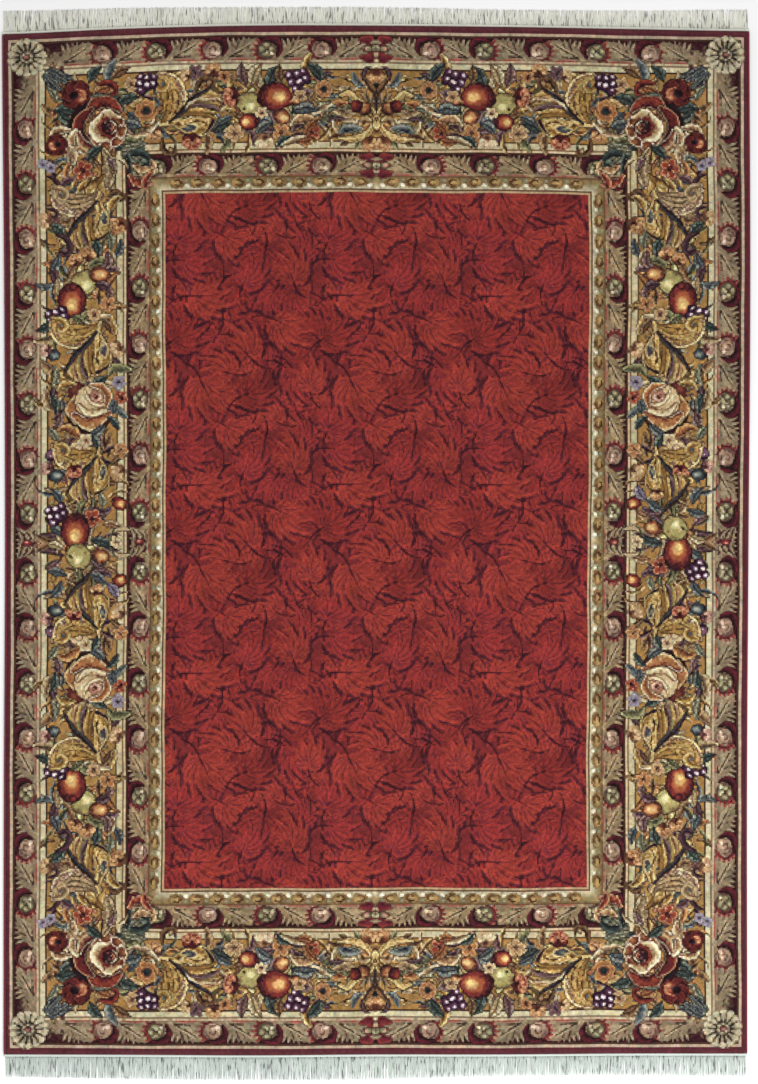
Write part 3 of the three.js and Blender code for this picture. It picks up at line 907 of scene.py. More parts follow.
def foliage_tile():
    """A repeat of tonal leaves one over another, joining on to itself all round."""
    wide, tall = FIELD_REPEAT
    tile = Cartoon(wide, tall, rough=0.4, mottle=0.12)
    tile.colour[:] = FIELD_GROUND
    rng = np.random.default_rng(7)
    rows = [(rng.uniform(0, wide), rng.uniform(0, tall), rng.uniform(0, 360), rng.uniform(0.8, 1.15),
             rng.integers(3)) for _ in range(SMALL_FRONDS)]
    for x, y, turn, size, wool in (*rows, *LARGE_FRONDS):
        for across in (-wide, 0, wide):
            for down in (-tall, 0, tall):
                frond(Pen(tile).moved((x + across, y + down), turn, size), *FIELD_WOOLS[wool])
    age(tile, 0.5, 0.14)
    return tile


# motif, knots across, knots down, turn, size, wools and whether it is turned over
BORDER_MOTIFS = (
    (scroll, 186, 79, 90, 1.08, STRAW, True),
    (strand, 198, 54, -12, 1.6, PLUM),
    (leaf, 230, 75, 60, 0.8, RUST),
    (cup, 229, 71, 80, 0.9, CRIMSON),
    (blossom, 193, 46, 0, 0.75, PLUM),
    (cup, 184, 49, 120, 0.6, PEACH),
    (cup, 211, 44, 170, 0.75, AMBER),
    (blossom, 222, 51, 0, 0.6, AMBER),
    (hook, 194, 64, -35, 1.2, BROWN),
    (leaf, 243, 59, -100, 1.1, MAUVE),
    (leaf, 249, 59, -65, 1.2, IVORY),
    (leaf, 265, 61, -60, 1.2, TEAL),
    (leaf, 279, 57, -95, 0.9, BROWN),
    (berries, 295, 54, 0, 1.15, GRAPE),
    (leaf, 319, 55, -130, 1.1, TEAL, True),
    (quince, 247, 77, 5, 1.05, LIME),
    (fruit, 272, 71, 0, 1.5, APPLE),
    (leaf, 252, 92, 20, 1, SLATE),
    (leaf, 289, 87, -20, 1.1, TEAL),
    (fruit, 246, 96, 180, 0.9, APPLE),
    (fruit, 279, 91, 30, 0.75, APRICOT),
    (blossom, 259, 87, 0, 0.6, CREAM),
    (leaf, 311, 87, -10, 1.2, SAGE),
    (blossom, 297, 71, 0, 0.7, PEACH),
    (marigold, 321, 64, 0, 0.8, AMBER),
    (leaf, 219, 106, -70, 0.75, TEAL),
    (leaf, 211, 104, -20, 0.9, TEAL),
    (leaf, 229, 91, 150, 0.8, SLATE, True),
    (blossom, 232, 107, 0, 0.9, PEACH),
    (leaf, 255, 107, -35, 0.9, SLATE),
    (cup, 262, 115, 0, 0.85, CREAM),
    (blossom, 279, 107, 0, 0.9, AMBER),
    (leaf, 275, 121, -40, 0.8, TEAL),
    (strand, 289, 77, 20, 1.8, RUST),
    (strand, 327, 79, 160, 1.6, IVORY),
    (ruff, 289, 99, -8, 1.3, PEACH),
    (ruff, 315, 93, 100, 1, RUST, True),
    (leaf, 291, 85, 0, 1.2, SLATE),
    (blossom, 309, 107, 20, 0.85, CRIMSON),
    (strand, 281, 119, -12, 1.6, IVORY),
    (leaf, 303, 109, -50, 0.9, RUST),
    (leaf, 295, 117, -15, 0.9, RUST, True),
    (hook, 327, 113, 10, 1, BROWN),
    (cup, 189, 115, 0, 0.95, CRIMSON),
    (hook, 160, 111, 60, 1.2, BROWN, True),
    (cup, 151, 106, 10, 0.8, AMBER),
    (leaf, 137, 100, 110, 1.2, MOSS),
    (pleats, 45, 41, 42, 1.05, SLATE),
    (leaf, 46, 57, 60, 0.8, SAGE),
    (leaf, 86, 52, -50, 1, TEAL),
    (leaf, 94, 63, -15, 1.1, RUST),
    (leaf, 98, 71, 10, 1, TEAL),
    (hook, 96, 55, 20, 1.2, CRIMSON),
    (leaf, 110, 49, -30, 1, BROWN),
    (leaf, 58, 75, 80, 0.9, SAGE),
    (leaf, 52, 79, 10, 1.1, TEAL),
    (leaf, 60, 84, 70, 1, MOSS),
    (poppy, 74, 64, 0, 1.35, CRIMSON),
    (blossom, 129, 56, 10, 0.75, PEACH),
    (blossom, 128, 71, 50, 0.75, PEACH),
    (berries, 144, 55, 20, 1.05, GRAPE),
    (leaf, 126, 84, 60, 0.9, SLATE),
    (leaf, 86, 77, -30, 1.1, TEAL),
    (leaf, 116, 76, -20, 1.1, TEAL),
    (leaf, 72, 92, 215, 1, TEAL),
    (leaf, 119, 96, 10, 1, SLATE),
    (leaf, 117, 112, 20, 1.3, MOSS),
    (red_rose, 105, 101, 0, 1, CRIMSON),
    (marigold, 144, 83, 0, 1.05, RUST),
    (strand, 155, 95, 150, 1.6, IVORY),
    (strand, 211, 74, 170, 1.5, IVORY, True),
    (leaf, 113, 120, 10, 0.7, TEAL),
    (leaf, 85, 129, -40, 0.9, TEAL),
    (ruff, 48, 105, -20, 1, CREAM),
    (ruff, 74, 100, 100, 1.1, CREAM, True),
    (ruff, 67, 116, 75, 0.9, CREAM),
    (ruff, 73, 118, 20, 0.6, PEACH),
    (ruff, 64, 104, 95, 1, CREAM, True),
    (poppy, 54, 114, 160, 1, CRIMSON),
    (blossom, 40, 133, 0, 0.5, LILAC),
    (blossom, 48, 137, 20, 0.55, LILAC),
    (hook, 45, 145, 60, 1.1, PLUM),
    (ruff, 73, 150, -20, 1, CRIMSON),
    (blossom, 80, 140, 15, 1.05, CRIMSON),
    (blade, 101, 121, 92, 2.2, TAN),
    (acanthus, 101, 147, 115, 0.9, STRAW, True),
    (scroll, 79, 188, 0, 1, TAN),
    (hook, 105, 168, 0, 1, BROWN),
    (cup, 43, 189, 90, 0.8, PEACH),
    (hook, 45, 178, 40, 0.7, PLUM),
    (leaf, 47, 194, 40, 0.9, TEAL),
    (hook, 53, 204, 60, 1.4, PLUM),
    (cup, 115, 196, 60, 0.85, AMBER),
    (leaf, 105, 204, 85, 0.9, SAGE),
    (leaf, 117, 212, 110, 0.9, SLATE),
    (leaf, 91, 211, 80, 0.9, TEAL),
    (cup, 72, 231, 160, 0.7, AMBER),
    (cup, 85, 226, 200, 0.7, AMBER),
    (leaf, 55, 226, 120, 1, SLATE),
    (leaf, 46, 238, 70, 0.9, PLUM),
    (leaf, 104, 224, 100, 0.9, MAUVE),
    (strand, 105, 222, 60, 0.8, IVORY),
    (quince, 80, 253, -20, 1.15, LIME),
    (fruit, 95, 246, 0, 0.85, APRICOT),
    (leaf, 54, 248, 95, 0.9, IVORY),
    (leaf, 92, 256, 20, 0.9, PLUM),
    (fruit, 68, 271, 90, 1.5, APPLE),
    (leaf, 106, 258, 100, 0.8, MAUVE),
    (blossom, 104, 276, 0, 0.8, AMBER),
    (blossom, 90, 286, 30, 0.7, PEACH),
    (berries, 53, 288, 0, 1.1, GRAPE),
    (leaf, 48, 292, 150, 0.9, TEAL),
    (leaf, 68, 287, 35, 0.8, MOSS),
    (scroll, 78, 321, 0, 1.04, STRAW),
    (leaf, 100, 292, 60, 0.8, BROWN),
    (fruit, 50, 326, 0, 0.6, SLATE),
    (cup, 42, 321, 90, 0.6, PINK),
    (cup, 114, 322, 60, 0.8, PEACH),
    (blade, 50, 337, 92, 1, SAGE),
    (leaf, 88, 362, -40, 1, TEAL),
    (pale_rose, 88, 373, 0, 1, AMBER),
    (ruff, 54, 361, -20, 0.9, STRAW),
    (leaf, 48, 367, 80, 0.9, TEAL),
    (leaf, 108, 385, -70, 0.8, SLATE),
    (leaf, 100, 398, 150, 0.9, SLATE),
    (leaf, 104, 390, 50, 0.8, TEAL),
    (blossom, 116, 370, 0, 0.65, CRIMSON),
    (blossom, 114, 355, 0, 0.7, LILAC),
    (leaf, 56, 385, 110, 0.8, MAUVE),
    (leaf, 44, 399, 60, 0.9, SAGE),
    (ruff, 54, 401, 20, 1.2, RUST),
    (blossom, 81, 413, 0, 0.75, CREAM),
    (blossom, 70, 422, 30, 0.75, CREAM),
    (leaf, 88, 408, 70, 0.8, TEAL),
    (plums, 52, 424, 0, 1, GRAPE),
    (scroll, 78, 445, 0, 0.95, STRAW),
    (cup, 69, 443, 0, 0.75, CRIMSON),
    (fruit, 51, 447, 0, 0.65, SLATE),
    (cup, 42, 439, 90, 0.6, PINK),
    (cup, 114, 445, 60, 0.8, PEACH),
    (blossom, 116, 423, 60, 0.75, AMBER),
    (fruit, 115, 476, 30, 0.7, APPLE),
    (leaf, 48, 461, 60, 0.9, SLATE),
    (leaf, 96, 467, 80, 0.7, SAGE),
    (pleats, 121, 124, 6, 1, SAGE),
    (hook, 123, 129, 8, 1.5, TEAL),
    (strand, 125, 126, 85, 1.3, TEAL),
    (ruff, 149, 133, 95, 0.8, PEACH),
    (ruff, 131, 138, 10, 0.9, PEACH, True),
    (ruff, 129, 148, 5, 0.9, PEACH, True),
    (strand, 111, 130, 30, 0.9, IVORY),
    (leaf, 105, 130, 60, 0.7, MAUVE),
    (ruff, 127, 148, 25, 1.1, CRIMSON, True),
    (ruff, 143, 162, -75, 0.9, CRIMSON),
    (shell, 25, 25, 0, 1, CHALK),
)

CENTRE_MOTIFS = (
    (berries, 52, 486, 0, 1.1, GRAPE),
    (blossom, 88, 491, 0, 0.9, CRIMSON),
    (leaf, 46, 500, 30, 0.8, SLATE),
    (leaf, 100, 497, 10, 0.8, PEACH),
    (leaf, 88, 513, 20, 1, TEAL),
    (fruit, 71, 503, 90, 1.5, APPLE),
    (blossom, 112, 515, 0, 0.6, CREAM),
    (leaf, 44, 516, 20, 0.8, IVORY),
    (quince, 75, 528, 50, 1.12, LIME),
    (fruit, 96, 529, 0, 0.75, APRICOT),
    (leaf, 56, 532, 150, 0.9, MAUVE),
    (leaf, 44, 544, 10, 0.9, SLATE),
    (leaf, 100, 539, 30, 0.8, PEACH),
    (leaf, 86, 547, 30, 0.9, SLATE),
    (strands, 76, 556, 0, 0.9, STRAW),
    (leaf, 104, 557, 60, 0.9, LILAC),
    (cup, 92, 563, 180, 0.6, AMBER),
)


# knots in from the edge where each border starts, and its depth
OUTER_GUARD = (11.6, 23.0)
MAIN_BORDER = (45.2, 70.4)
INNER_GUARD = (128.6, 21.4)
BEAD_BAND = (151.6, 11.8)
# how deep and how squeezed the flowers and fans in the middle of each guard are
GUARD_MIDDLES = ((11.6, 1.0), (128.6, 0.93))
# knots from the middle of a border to each unit of its guards, at the ends and the sides
OUTER_ENDS = (55, 109, 164, 220.5, 274.5)
OUTER_SIDES = [30.5 + 55.4 * k for k in range(8)]
INNER_ENDS = (55.5, 109, 168.5, 220)
INNER_SIDES = [30 + 56.4 * k for k in range(7)]
OUTER_CORNER = (329.5, 473.7)
BEAD_PITCH = 20.4
UNDERGROWTH_GAP = 8.5
LYRE_PLACE = (KNOTS_ACROSS / 2, 75.0)


def lay_motifs(cartoon, rows):
    """Draws the motifs of a table, each over those before it."""
    for motif, across, down, turn, size, wools, *flip in rows:
        motif(Pen(cartoon).moved((across, down), turn, size, bool(flip)), *wools)


def paint_borders():
    """Draws the left half of the rug; the right half is the same turned about."""
    cartoon = Cartoon(KNOTS_ACROSS / 2 + 1, KNOTS_ALONG)
    lay_stripes(cartoon)
    guard_band(cartoon, *OUTER_GUARD, 0.0, OUTER_ENDS, OUTER_SIDES)
    guard_band(cartoon, *INNER_GUARD, 0.5, INNER_ENDS, INNER_SIDES)
    bead_band(cartoon, *BEAD_BAND, BEAD_PITCH)
    undergrowth(cartoon, *MAIN_BORDER, UNDERGROWTH_GAP)
    for band_pen, place in zip((end_pen, side_pen), OUTER_CORNER):
        guard_leaf(band_pen(cartoon, OUTER_GUARD[0], 1.0, place), 0.0)
    for start, squeeze in GUARD_MIDDLES:
        guard_centre(end_pen(cartoon, start, squeeze, 0))
    lay_motifs(cartoon, BORDER_MOTIFS)
    lyre(Pen(cartoon, LYRE_PLACE), *STRAW)
    half = cartoon.rows // 2
    cartoon.colour[half:] = cartoon.colour[:half][::-1]
    for start, squeeze in GUARD_MIDDLES:
        guard_fan(side_pen(cartoon, start, squeeze, 0))
    lay_motifs(cartoon, CENTRE_MOTIFS)
    age(cartoon, 1.0, 0.22)
    return cartoon


def rug_colours(drawings, x, y):
    """Colours at places in knots, anywhere on the rug."""
    borders, field = drawings
    right = x > KNOTS_ACROSS / 2
    turned = np.where(right, KNOTS_ACROSS - x, x), np.where(right, KNOTS_ALONG - y, y)
    edging = borders.point_colours(*(place * CELLS_PER_KNOT for place in turned))
    tiled = (place % repeat for place, repeat in zip((x, y), FIELD_REPEAT))
    leaves = field.point_colours(*(place * CELLS_PER_KNOT for place in tiled))
    inside = np.clip(edge_distance(x, y) - STRIPE_ENDS[-1] + 0.5, 0, 1)[..., None]
    return edging * (1 - inside) + leaves * inside


def knot_colours(drawings, x, y, wide, tall):
    """Mean colours of a grid of faces, from their middles and sizes."""
    total = 0
    for u in (-0.25, 0.25):
        for v in (-0.25, 0.25):
            total = total + rug_colours(drawings, *np.meshgrid(x + u * wide, y + v * tall))
    return total / 4


class Value:
    """A number that varies over a surface, with ordinary maths on it."""

    def __init__(self, tree, socket):
        self.tree = tree
        self.socket = socket

    def maths(self, operation, *others, back=False):
        """A Math node of this value and others, in turn or back to front."""
        made = self.tree.nodes.new("ShaderNodeMath")
        made.operation = operation
        terms = [self, *others]
        if back:
            terms.reverse()
        for socket, term in zip(made.inputs, terms):
            if isinstance(term, Value):
                self.tree.links.new(term.socket, socket)
            else:
                socket.default_value = term
        return Value(self.tree, made.outputs[0])

    def __add__(self, other):
        return self.maths("ADD", other)

    __radd__ = __add__

    def __sub__(self, other):
        return self.maths("SUBTRACT", other)

    def __rsub__(self, other):
        return self.maths("SUBTRACT", other, back=True)

    def __mul__(self, other):
        return self.maths("MULTIPLY", other)

    __rmul__ = __mul__

    def __truediv__(self, other):
        return self.maths("DIVIDE", other)

    def __rtruediv__(self, other):
        return self.maths("DIVIDE", other, back=True)

    def sine(self):
        return self.maths("SINE")

    def size(self):
        return self.maths("ABSOLUTE")

    def least(self, other):
        return self.maths("MINIMUM", other)

    def most(self, other):
        return self.maths("MAXIMUM", other)

    def above(self, other):
        return self.maths("GREATER_THAN", other)


class Finish:
    """A material being made, node by node."""

    def __init__(self, name):
        self.material = bpy.data.materials.new(name)
        self.material.use_nodes = True
        self.tree = self.material.node_tree
        self.tree.nodes.clear()

    def node(self, kind, settings=None, **sockets):
        """A node of a kind: its settings first, then its sockets' values or links."""
        made = self.tree.nodes.new("ShaderNode" + kind)
        for name, value in (settings or {}).items():
            setattr(made, name, value)
        for name, value in sockets.items():
            wanted = name.replace("_", " ")
            socket = next(s for s in made.inputs if s.name == wanted and s.enabled)
            if isinstance(value, Value):
                self.tree.links.new(value.socket, socket)
            elif isinstance(value, bpy.types.NodeSocket):
                self.tree.links.new(value, socket)
            else:
                socket.default_value = value
        return made

    def value(self, made, output=0):
        """A node's output as a number to do maths on."""
        return Value(self.tree, made.outputs[output])

    def places(self):
        """Places on the piece, in metres."""
        return self.node("TexCoord").outputs["Object"]

    def noise(self, scale, detail=2.0, roughness=0.5, stretch=None):
        """Soft noise from 0 to 1; stretch scales its axes."""
        place = self.places()
        if stretch is not None:
            place = self.node("Mapping", Vector=place, Scale=stretch).outputs[0]
        made = self.node("TexNoise", Vector=place, Scale=scale, Detail=detail, Roughness=roughness)
        return self.value(made)

    def wool(self, colour):
        """One colour of yarn, as a link."""
        return self.node("CombineColor", Red=colour[0], Green=colour[1], Blue=colour[2]).outputs[0]

    def blend(self, share, first, second):
        """Goes from the first colour to the second as share goes from 0 to 1."""
        made = self.node("Mix", {"data_type": "RGBA"}, Factor=share, A=first, B=second)
        return made.outputs["Result"]

    def surface(self, colour, shade, roughness, height, lift, sheen, specular):
        """Ends the material: a colour times a shade, matt, with a bump of so many metres' lift."""
        tinted = self.node("VectorMath", {"operation": "SCALE"}, Vector=colour, Scale=shade).outputs[0]
        bump = self.node("Bump", Height=height, Strength=1.0, Distance=lift)
        shader = self.node("BsdfPrincipled", Base_Color=tinted, Roughness=roughness, Normal=bump.outputs[0],
                           Sheen_Weight=sheen, Sheen_Roughness=0.5, Specular_IOR_Level=specular)
        self.node("OutputMaterial", Surface=shader.outputs[0])
        return self.material


def pile_finish():
    """Cut wool pile: the knots' own colour, uneven dye, broad patches that are part uneven dye and part
    painted shade where the pile lies differently, and combed tufts.
    """
    finish = Finish("wool pile")
    colour = finish.node("Attribute", {"attribute_name": "wool"}).outputs["Color"]
    dye = finish.noise(9.0, 3.0, stretch=(0.35, 1.6, 1.0))
    # broad patches: part uneven dye, part painted shade where the pile lies differently
    patches = finish.noise(2.3, 2.0)
    tufts = finish.noise(420.0, 2.0, 0.7)
    shade = 0.78 + dye * 0.14 + patches * 0.14 + tufts * 0.17
    height = tufts + finish.noise(150.0, 2.0) * 0.8
    return finish.surface(colour, shade, 0.95, height, 0.0012, sheen=0.06, specular=0.08)


def cord_finish(wool):
    """Wool yarn wound over the edge."""
    finish = Finish("selvedge wool")
    hairs = finish.noise(700.0, 2.0, stretch=(1.0, 0.3, 1.0))
    patches = finish.noise(11.0, 2.0)
    shade = 0.7 + hairs * 0.32 + patches * 0.26
    return finish.surface(finish.wool(wool), shade, 0.92, hairs, 0.0006, sheen=0.08, specular=0.1)


def cotton_finish(name, cotton, across):
    """Undyed cotton yarn, a little grey where handled and, where loose, streaked with painted shadow
    between its yarns.
    """
    finish = Finish(name)
    stretch = (1.0, 0.12, 1.0) if across else (0.12, 1.0, 1.0)
    fibres = finish.noise(900.0, 2.0, stretch=stretch)
    soil = finish.noise(7.0, 3.0)
    shade = 0.8 + fibres * 0.2 + soil * 0.16
    if across:
        # painted shadow: dark streaks between the loose yarns
        painted_gap_shadow = ((finish.noise(230.0, 1.0, stretch=stretch) - 0.57) * 12.0).most(0.0).least(1.0)
        shade = shade - painted_gap_shadow * 0.7
    return finish.surface(finish.wool(cotton), shade, 0.85, fibres, 0.0004, sheen=0.1, specular=0.2)


# knots in from the edge beyond which the back shows each colour
BACK_RED = solid_colour(112, 34, 36)
BACK_BANDS = (
    (165.0, solid_colour(96, 74, 56)),
    (150.0, solid_colour(104, 82, 64)),
    (126.0, solid_colour(150, 136, 108)),
    (116.0, solid_colour(138, 104, 62)),
    (44.0, solid_colour(150, 140, 112)),
    (35.0, solid_colour(104, 82, 64)),
    (9.0, solid_colour(74, 30, 38)),
)


def ground_finish():
    """The back of the rug: rows of knots in the borders' main colours."""
    finish = Finish("woven ground")
    split = finish.node("SeparateXYZ", Vector=finish.places())
    x, y = finish.value(split, 0), finish.value(split, 1)
    side = (HALF_WIDTH - x.size()) / (KNOT * SIDE_SQUEEZE)
    end = (HALF_LENGTH - (y - MIDDLE_Y).size()) / KNOT
    depth = side.least(end)
    colour = BACK_RED
    for edge, tone in BACK_BANDS:
        colour = finish.blend(depth.above(edge), tone, colour)
    knots = (x * (math.pi / KNOT)).sine().size() + (y * (math.pi / KNOT)).sine().size() * 0.8
    shade = 0.66 + knots * 0.16 + finish.noise(260.0, 2.0) * 0.2
    return finish.surface(colour, shade, 0.9, knots, 0.0006, sheen=0.05, specular=0.15)


def new_object(name, points, faces, material, smooth=True):
    """A mesh object from arrays, placed at the origin."""
    mesh = bpy.data.meshes.new(name)
    mesh.from_pydata(points.tolist(), [], faces)
    mesh.materials.append(material)
    mesh.polygons.foreach_set("use_smooth", np.full(len(mesh.polygons), smooth))
    mesh.update()
    made = bpy.data.objects.new(name, mesh)
    bpy.context.scene.collection.objects.link(made)
    return made


def dress(piece, node):
    """Makes a piece ride on the rug and stand for a part of it, whose own mesh it hides."""
    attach(piece, BODY)
    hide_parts(node)


# Lines of the pile's grid, in knots: the first ones in from the rim, where the borders end and
# the field starts, and the least distance from a line to a stripe's own line.
RIM_LINES = (0.0, 0.25, 0.8)
FIELD_START = 165.0
NEAREST_LINE = 0.2
# How far the pile stands below the top of its box, in metres, and how far it and its tufts rise.
PILE_DIP = 0.0007
PILE_SWELL = 0.00035
TUFT_RISE = 0.0003
# Painted shade: how much darker the pile's walls and its underside are coloured than its top.
WALL_SHADE = 0.8
UNDERSIDE_SHADE = 0.6
# Shares of the picture that the pile's top and its walls take, when its finish is baked.
TOP_SHARE = 0.97
WALL_START = 0.975
WALL_SHARE = 0.02


def grid_lines(start, end, stops, pitch):
    """Lines from start to end that meet every stop, about a pitch apart."""
    inner = sorted(stop for stop in stops if start + NEAREST_LINE < stop < end - NEAREST_LINE)
    marks = [start, *inner, end]
    lines = [start]
    for low, high in zip(marks, marks[1:]):
        steps = max(1, round((high - low) / pitch))
        lines.extend(np.linspace(low, high, steps + 1)[1:])
    return np.array(lines)


def pile_heights(x, y):
    """Metres above the floor of the cut pile, rounded off at the rim."""
    side = np.minimum(x - PILE_INSET, KNOTS_ACROSS - PILE_INSET - x)
    rim = np.minimum(side, np.minimum(y, KNOTS_ALONG - y)) * KNOT
    rounding = RIM_ROUNDING * (1 - np.sqrt(1 - np.clip(1 - rim / RIM_ROUNDING, 0, 1) ** 2))
    swell = np.sin(x / 23 + 1.1 * np.sin(y / 61)) * np.sin(y / 29 + 0.8 * np.sin(x / 47))
    tufts = np.sin(x * 12.9898 + y * 78.233) * 43758.5453
    tufts = tufts - np.floor(tufts)
    return PILE_TOP - PILE_DIP + PILE_SWELL * swell + TUFT_RISE * tufts - rounding


def colour_pile(mesh, tops, walls):
    """Gives each face its wool: the top's colours, then the walls' and the underside's, darkened as painted
    shade.
    """
    colours = np.concatenate((tops, walls * WALL_SHADE, [tops.mean(axis=0) * UNDERSIDE_SHADE]))
    data = np.ones((len(colours), 4), dtype=np.float32)
    data[:, :3] = colours
    wool = mesh.attributes.new("wool", "FLOAT_COLOR", "FACE")
    wool.data.foreach_set("color", data.reshape(-1))


def chart_pile(mesh, places, top_corners):
    """Lays the top out flat for baking, and the walls in a strip beside it."""
    chart = mesh.uv_layers.new(name="OFBake")
    corners = np.empty(len(mesh.loops), dtype=np.int32)
    mesh.loops.foreach_get("vertex_index", corners)
    flat = places[corners] * (TOP_SHARE, 1.0)
    flat[top_corners:] = (WALL_START, 0) + places[corners[top_corners:]] * (WALL_SHARE, 1.0)
    chart.data.foreach_set("uv", flat.astype(np.float32).reshape(-1))


def pile_piece(name, columns, rows, drawings, material):
    """One closed stretch of pile whose top has a face for each knot or two."""
    x, y = np.meshgrid(columns, rows)
    top = rug_points(x, y, pile_heights(x, y)).reshape(-1, 3)
    index = np.arange(x.size).reshape(x.shape)
    quads = np.stack((index[1:, :-1], index[1:, 1:], index[:-1, 1:], index[:-1, :-1]), axis=-1)
    quads = quads.reshape(-1, 4)
    rim = np.concatenate((index[0, :-1], index[:-1, -1], index[-1, :0:-1], index[:0:-1, 0]))
    brim, foot = top[rim], top[rim]
    foot[:, 2] = GROUND_THICKNESS + PIECE_GAP
    high = np.arange(len(rim)) + len(top)
    low = high + len(rim)
    walls = np.stack((high, np.roll(high, -1), np.roll(low, -1), low), axis=-1)
    faces = quads.tolist() + walls.tolist() + [low.tolist()]
    made = new_object(name, np.concatenate((top, brim, foot)), faces, material)
    made.data.polygons.foreach_set("use_smooth", np.arange(len(faces)) < len(quads))
    middles = ((columns[1:] + columns[:-1]) / 2, (rows[1:] + rows[:-1]) / 2)
    tops = as_linear(knot_colours(drawings, *middles, np.diff(columns), np.diff(rows))).reshape(-1, 3)
    places = np.stack((x.reshape(-1), y.reshape(-1)), axis=-1)
    colour_pile(made.data, tops, as_linear(rug_colours(drawings, *places[rim].T)))
    places = np.concatenate((places, places[rim], places[rim]))
    places = (places - (columns[0], rows[0])) / (columns[-1] - columns[0], rows[-1] - rows[0])
    chart_pile(made.data, places, quads.size)
    return made


def tube_faces(rings, sides, first=0):
    """Faces of a closed tube whose rings run one after another."""
    faces = []
    for r in range(rings - 1):
        low = first + r * sides
        for s in range(sides):
            t = (s + 1) % sides
            faces.append((low + s, low + sides + s, low + sides + t, low + t))
    faces.append(tuple(first + s for s in range(sides)))
    last = first + (rings - 1) * sides
    faces.append(tuple(last + s for s in reversed(range(sides))))
    return faces


# The wound cord: its sides, rings to a turn of yarn, how thin it is between two turns and at its
# ends, how long its ends taper in metres, how far a turn slants and how flat it lies.
CORD_SIDES = 8
RINGS_PER_TURN = 2
CORD_WAIST = 0.90
CORD_TIP = 0.55
CORD_TAPER = 0.004
CORD_SLANT = 0.25
CORD_FLATNESS = 0.92


def wound_cord(name, side, material):
    """The yarn wound over one long edge; side is 0 on the left and 1 on the right."""
    rings = RINGS_PER_TURN * int(2 * HALF_LENGTH / CORD_PITCH) + 1
    angles = 2 * math.pi * (np.arange(CORD_SIDES) + 0.5) / CORD_SIDES - math.pi / 2
    down = np.linspace(0, 1, rings)
    line, along = place_on_rug(np.full_like(down, side), down)
    centre = line + (0.5 - side) * CORD_WIDTH
    end = np.clip(np.minimum(down, 1 - down) * 2 * HALF_LENGTH / CORD_TAPER, 0, 1)
    bulge = np.where(np.arange(rings) % RINGS_PER_TURN == 0, CORD_WAIST, 1.0)
    bulge = (bulge * (CORD_TIP + (1 - CORD_TIP) * np.sqrt(end)))[:, None]
    slant = CORD_SLANT * CORD_PITCH * np.sin(angles)
    points = np.empty((rings, CORD_SIDES, 3))
    points[..., 0] = centre[:, None] + bulge * (np.cos(angles) * CORD_WIDTH / 2)
    points[..., 1] = along[:, None] + slant * (end == 1)[:, None]
    rise = np.maximum(np.sin(angles), -CORD_FLATNESS) * CORD_HEIGHT / 2
    points[..., 2] = np.maximum(CORD_HEIGHT / 2 + bulge * rise, 0.0)
    return new_object(name, points.reshape(-1, 3), tube_faces(rings, CORD_SIDES), material)


# The web's section: metres out from the pile and up, and how its crossing yarns raise it.
WEB_SECTION = ((0.0003, 0.0), (0.0003, 0.0034), (0.0022, 0.0040), (0.0050, 0.0034), (WEB_WIDTH, 0.0028),
               (WEB_WIDTH, 0.0))
WEB_STEPS = 372
WEB_RISE = 0.9
WEB_RIPPLE = 0.12
# A section of yarn: shares of its half width and of its height.
YARN_SECTION = ((-1, 0.0), (-0.62, 1.0), (0.62, 1.0), (1, 0.0))
# The fringe: its yarns, their steps and its seed, its inset as a share of the rug, how alike two
# locks side by side lean and, in metres, how far its yarns start under the web, lean, gather, sway
# and wave, how much shorter some are, and their least and most width and height.
YARNS_PER_LOCK = 3
FRINGE_STEPS = 7
FRINGE_SEED = 5
FRINGE_INSET = 1.5 / KNOTS_ACROSS
FRINGE_OVERLAP = 0.001
LOCK_ALIKE = 0.4
LOCK_LEAN = 0.0022
YARN_GATHER = -0.0004
YARN_SWAY = 0.0006
YARN_WAVE = (0.0001, 0.0005)
YARN_SHORTER = 0.004
YARN_WIDTH = (0.0021, 0.0027)
YARN_HEIGHT = (0.0016, 0.0030)


def end_side(end):
    """Which way is outward at an end of the rug, and its share down the rug."""
    return (1, 0.0) if end == "top" else (-1, 1.0)


def web(name, end, material):
    """The flat woven strip between the pile and the fringe."""
    outward, down = end_side(end)
    across = np.linspace(0, 1, WEB_STEPS + 1)
    x, y = place_on_rug(across, np.full_like(across, down))
    rings = np.empty((len(across), len(WEB_SECTION), 3))
    ripple = 1 + WEB_RIPPLE * (np.arange(len(across)) % 2)
    for s, (out, up) in enumerate(WEB_SECTION):
        rings[:, s] = np.stack((x, y + outward * out, up * ripple * WEB_RISE), axis=-1)
    faces = tube_faces(*rings.shape[:2])
    if outward > 0:
        faces = [tuple(reversed(face)) for face in faces]
    return new_object(name, rings.reshape(-1, 3), faces, material)


def yarn(points, widths, heights):
    """A four-sided yarn along points on the floor, level underneath."""
    ahead = np.gradient(points, axis=0)
    ahead = ahead / np.linalg.norm(ahead, axis=1, keepdims=True)
    aside = np.stack((-ahead[:, 1], ahead[:, 0], np.zeros(len(points))), axis=-1)
    rings = np.empty((len(points), len(YARN_SECTION), 3))
    for s, (u, up) in enumerate(YARN_SECTION):
        rings[:, s] = points + aside * (u * widths[:, None] / 2)
        rings[:, s, 2] += up * heights
    return rings.reshape(-1, 3)


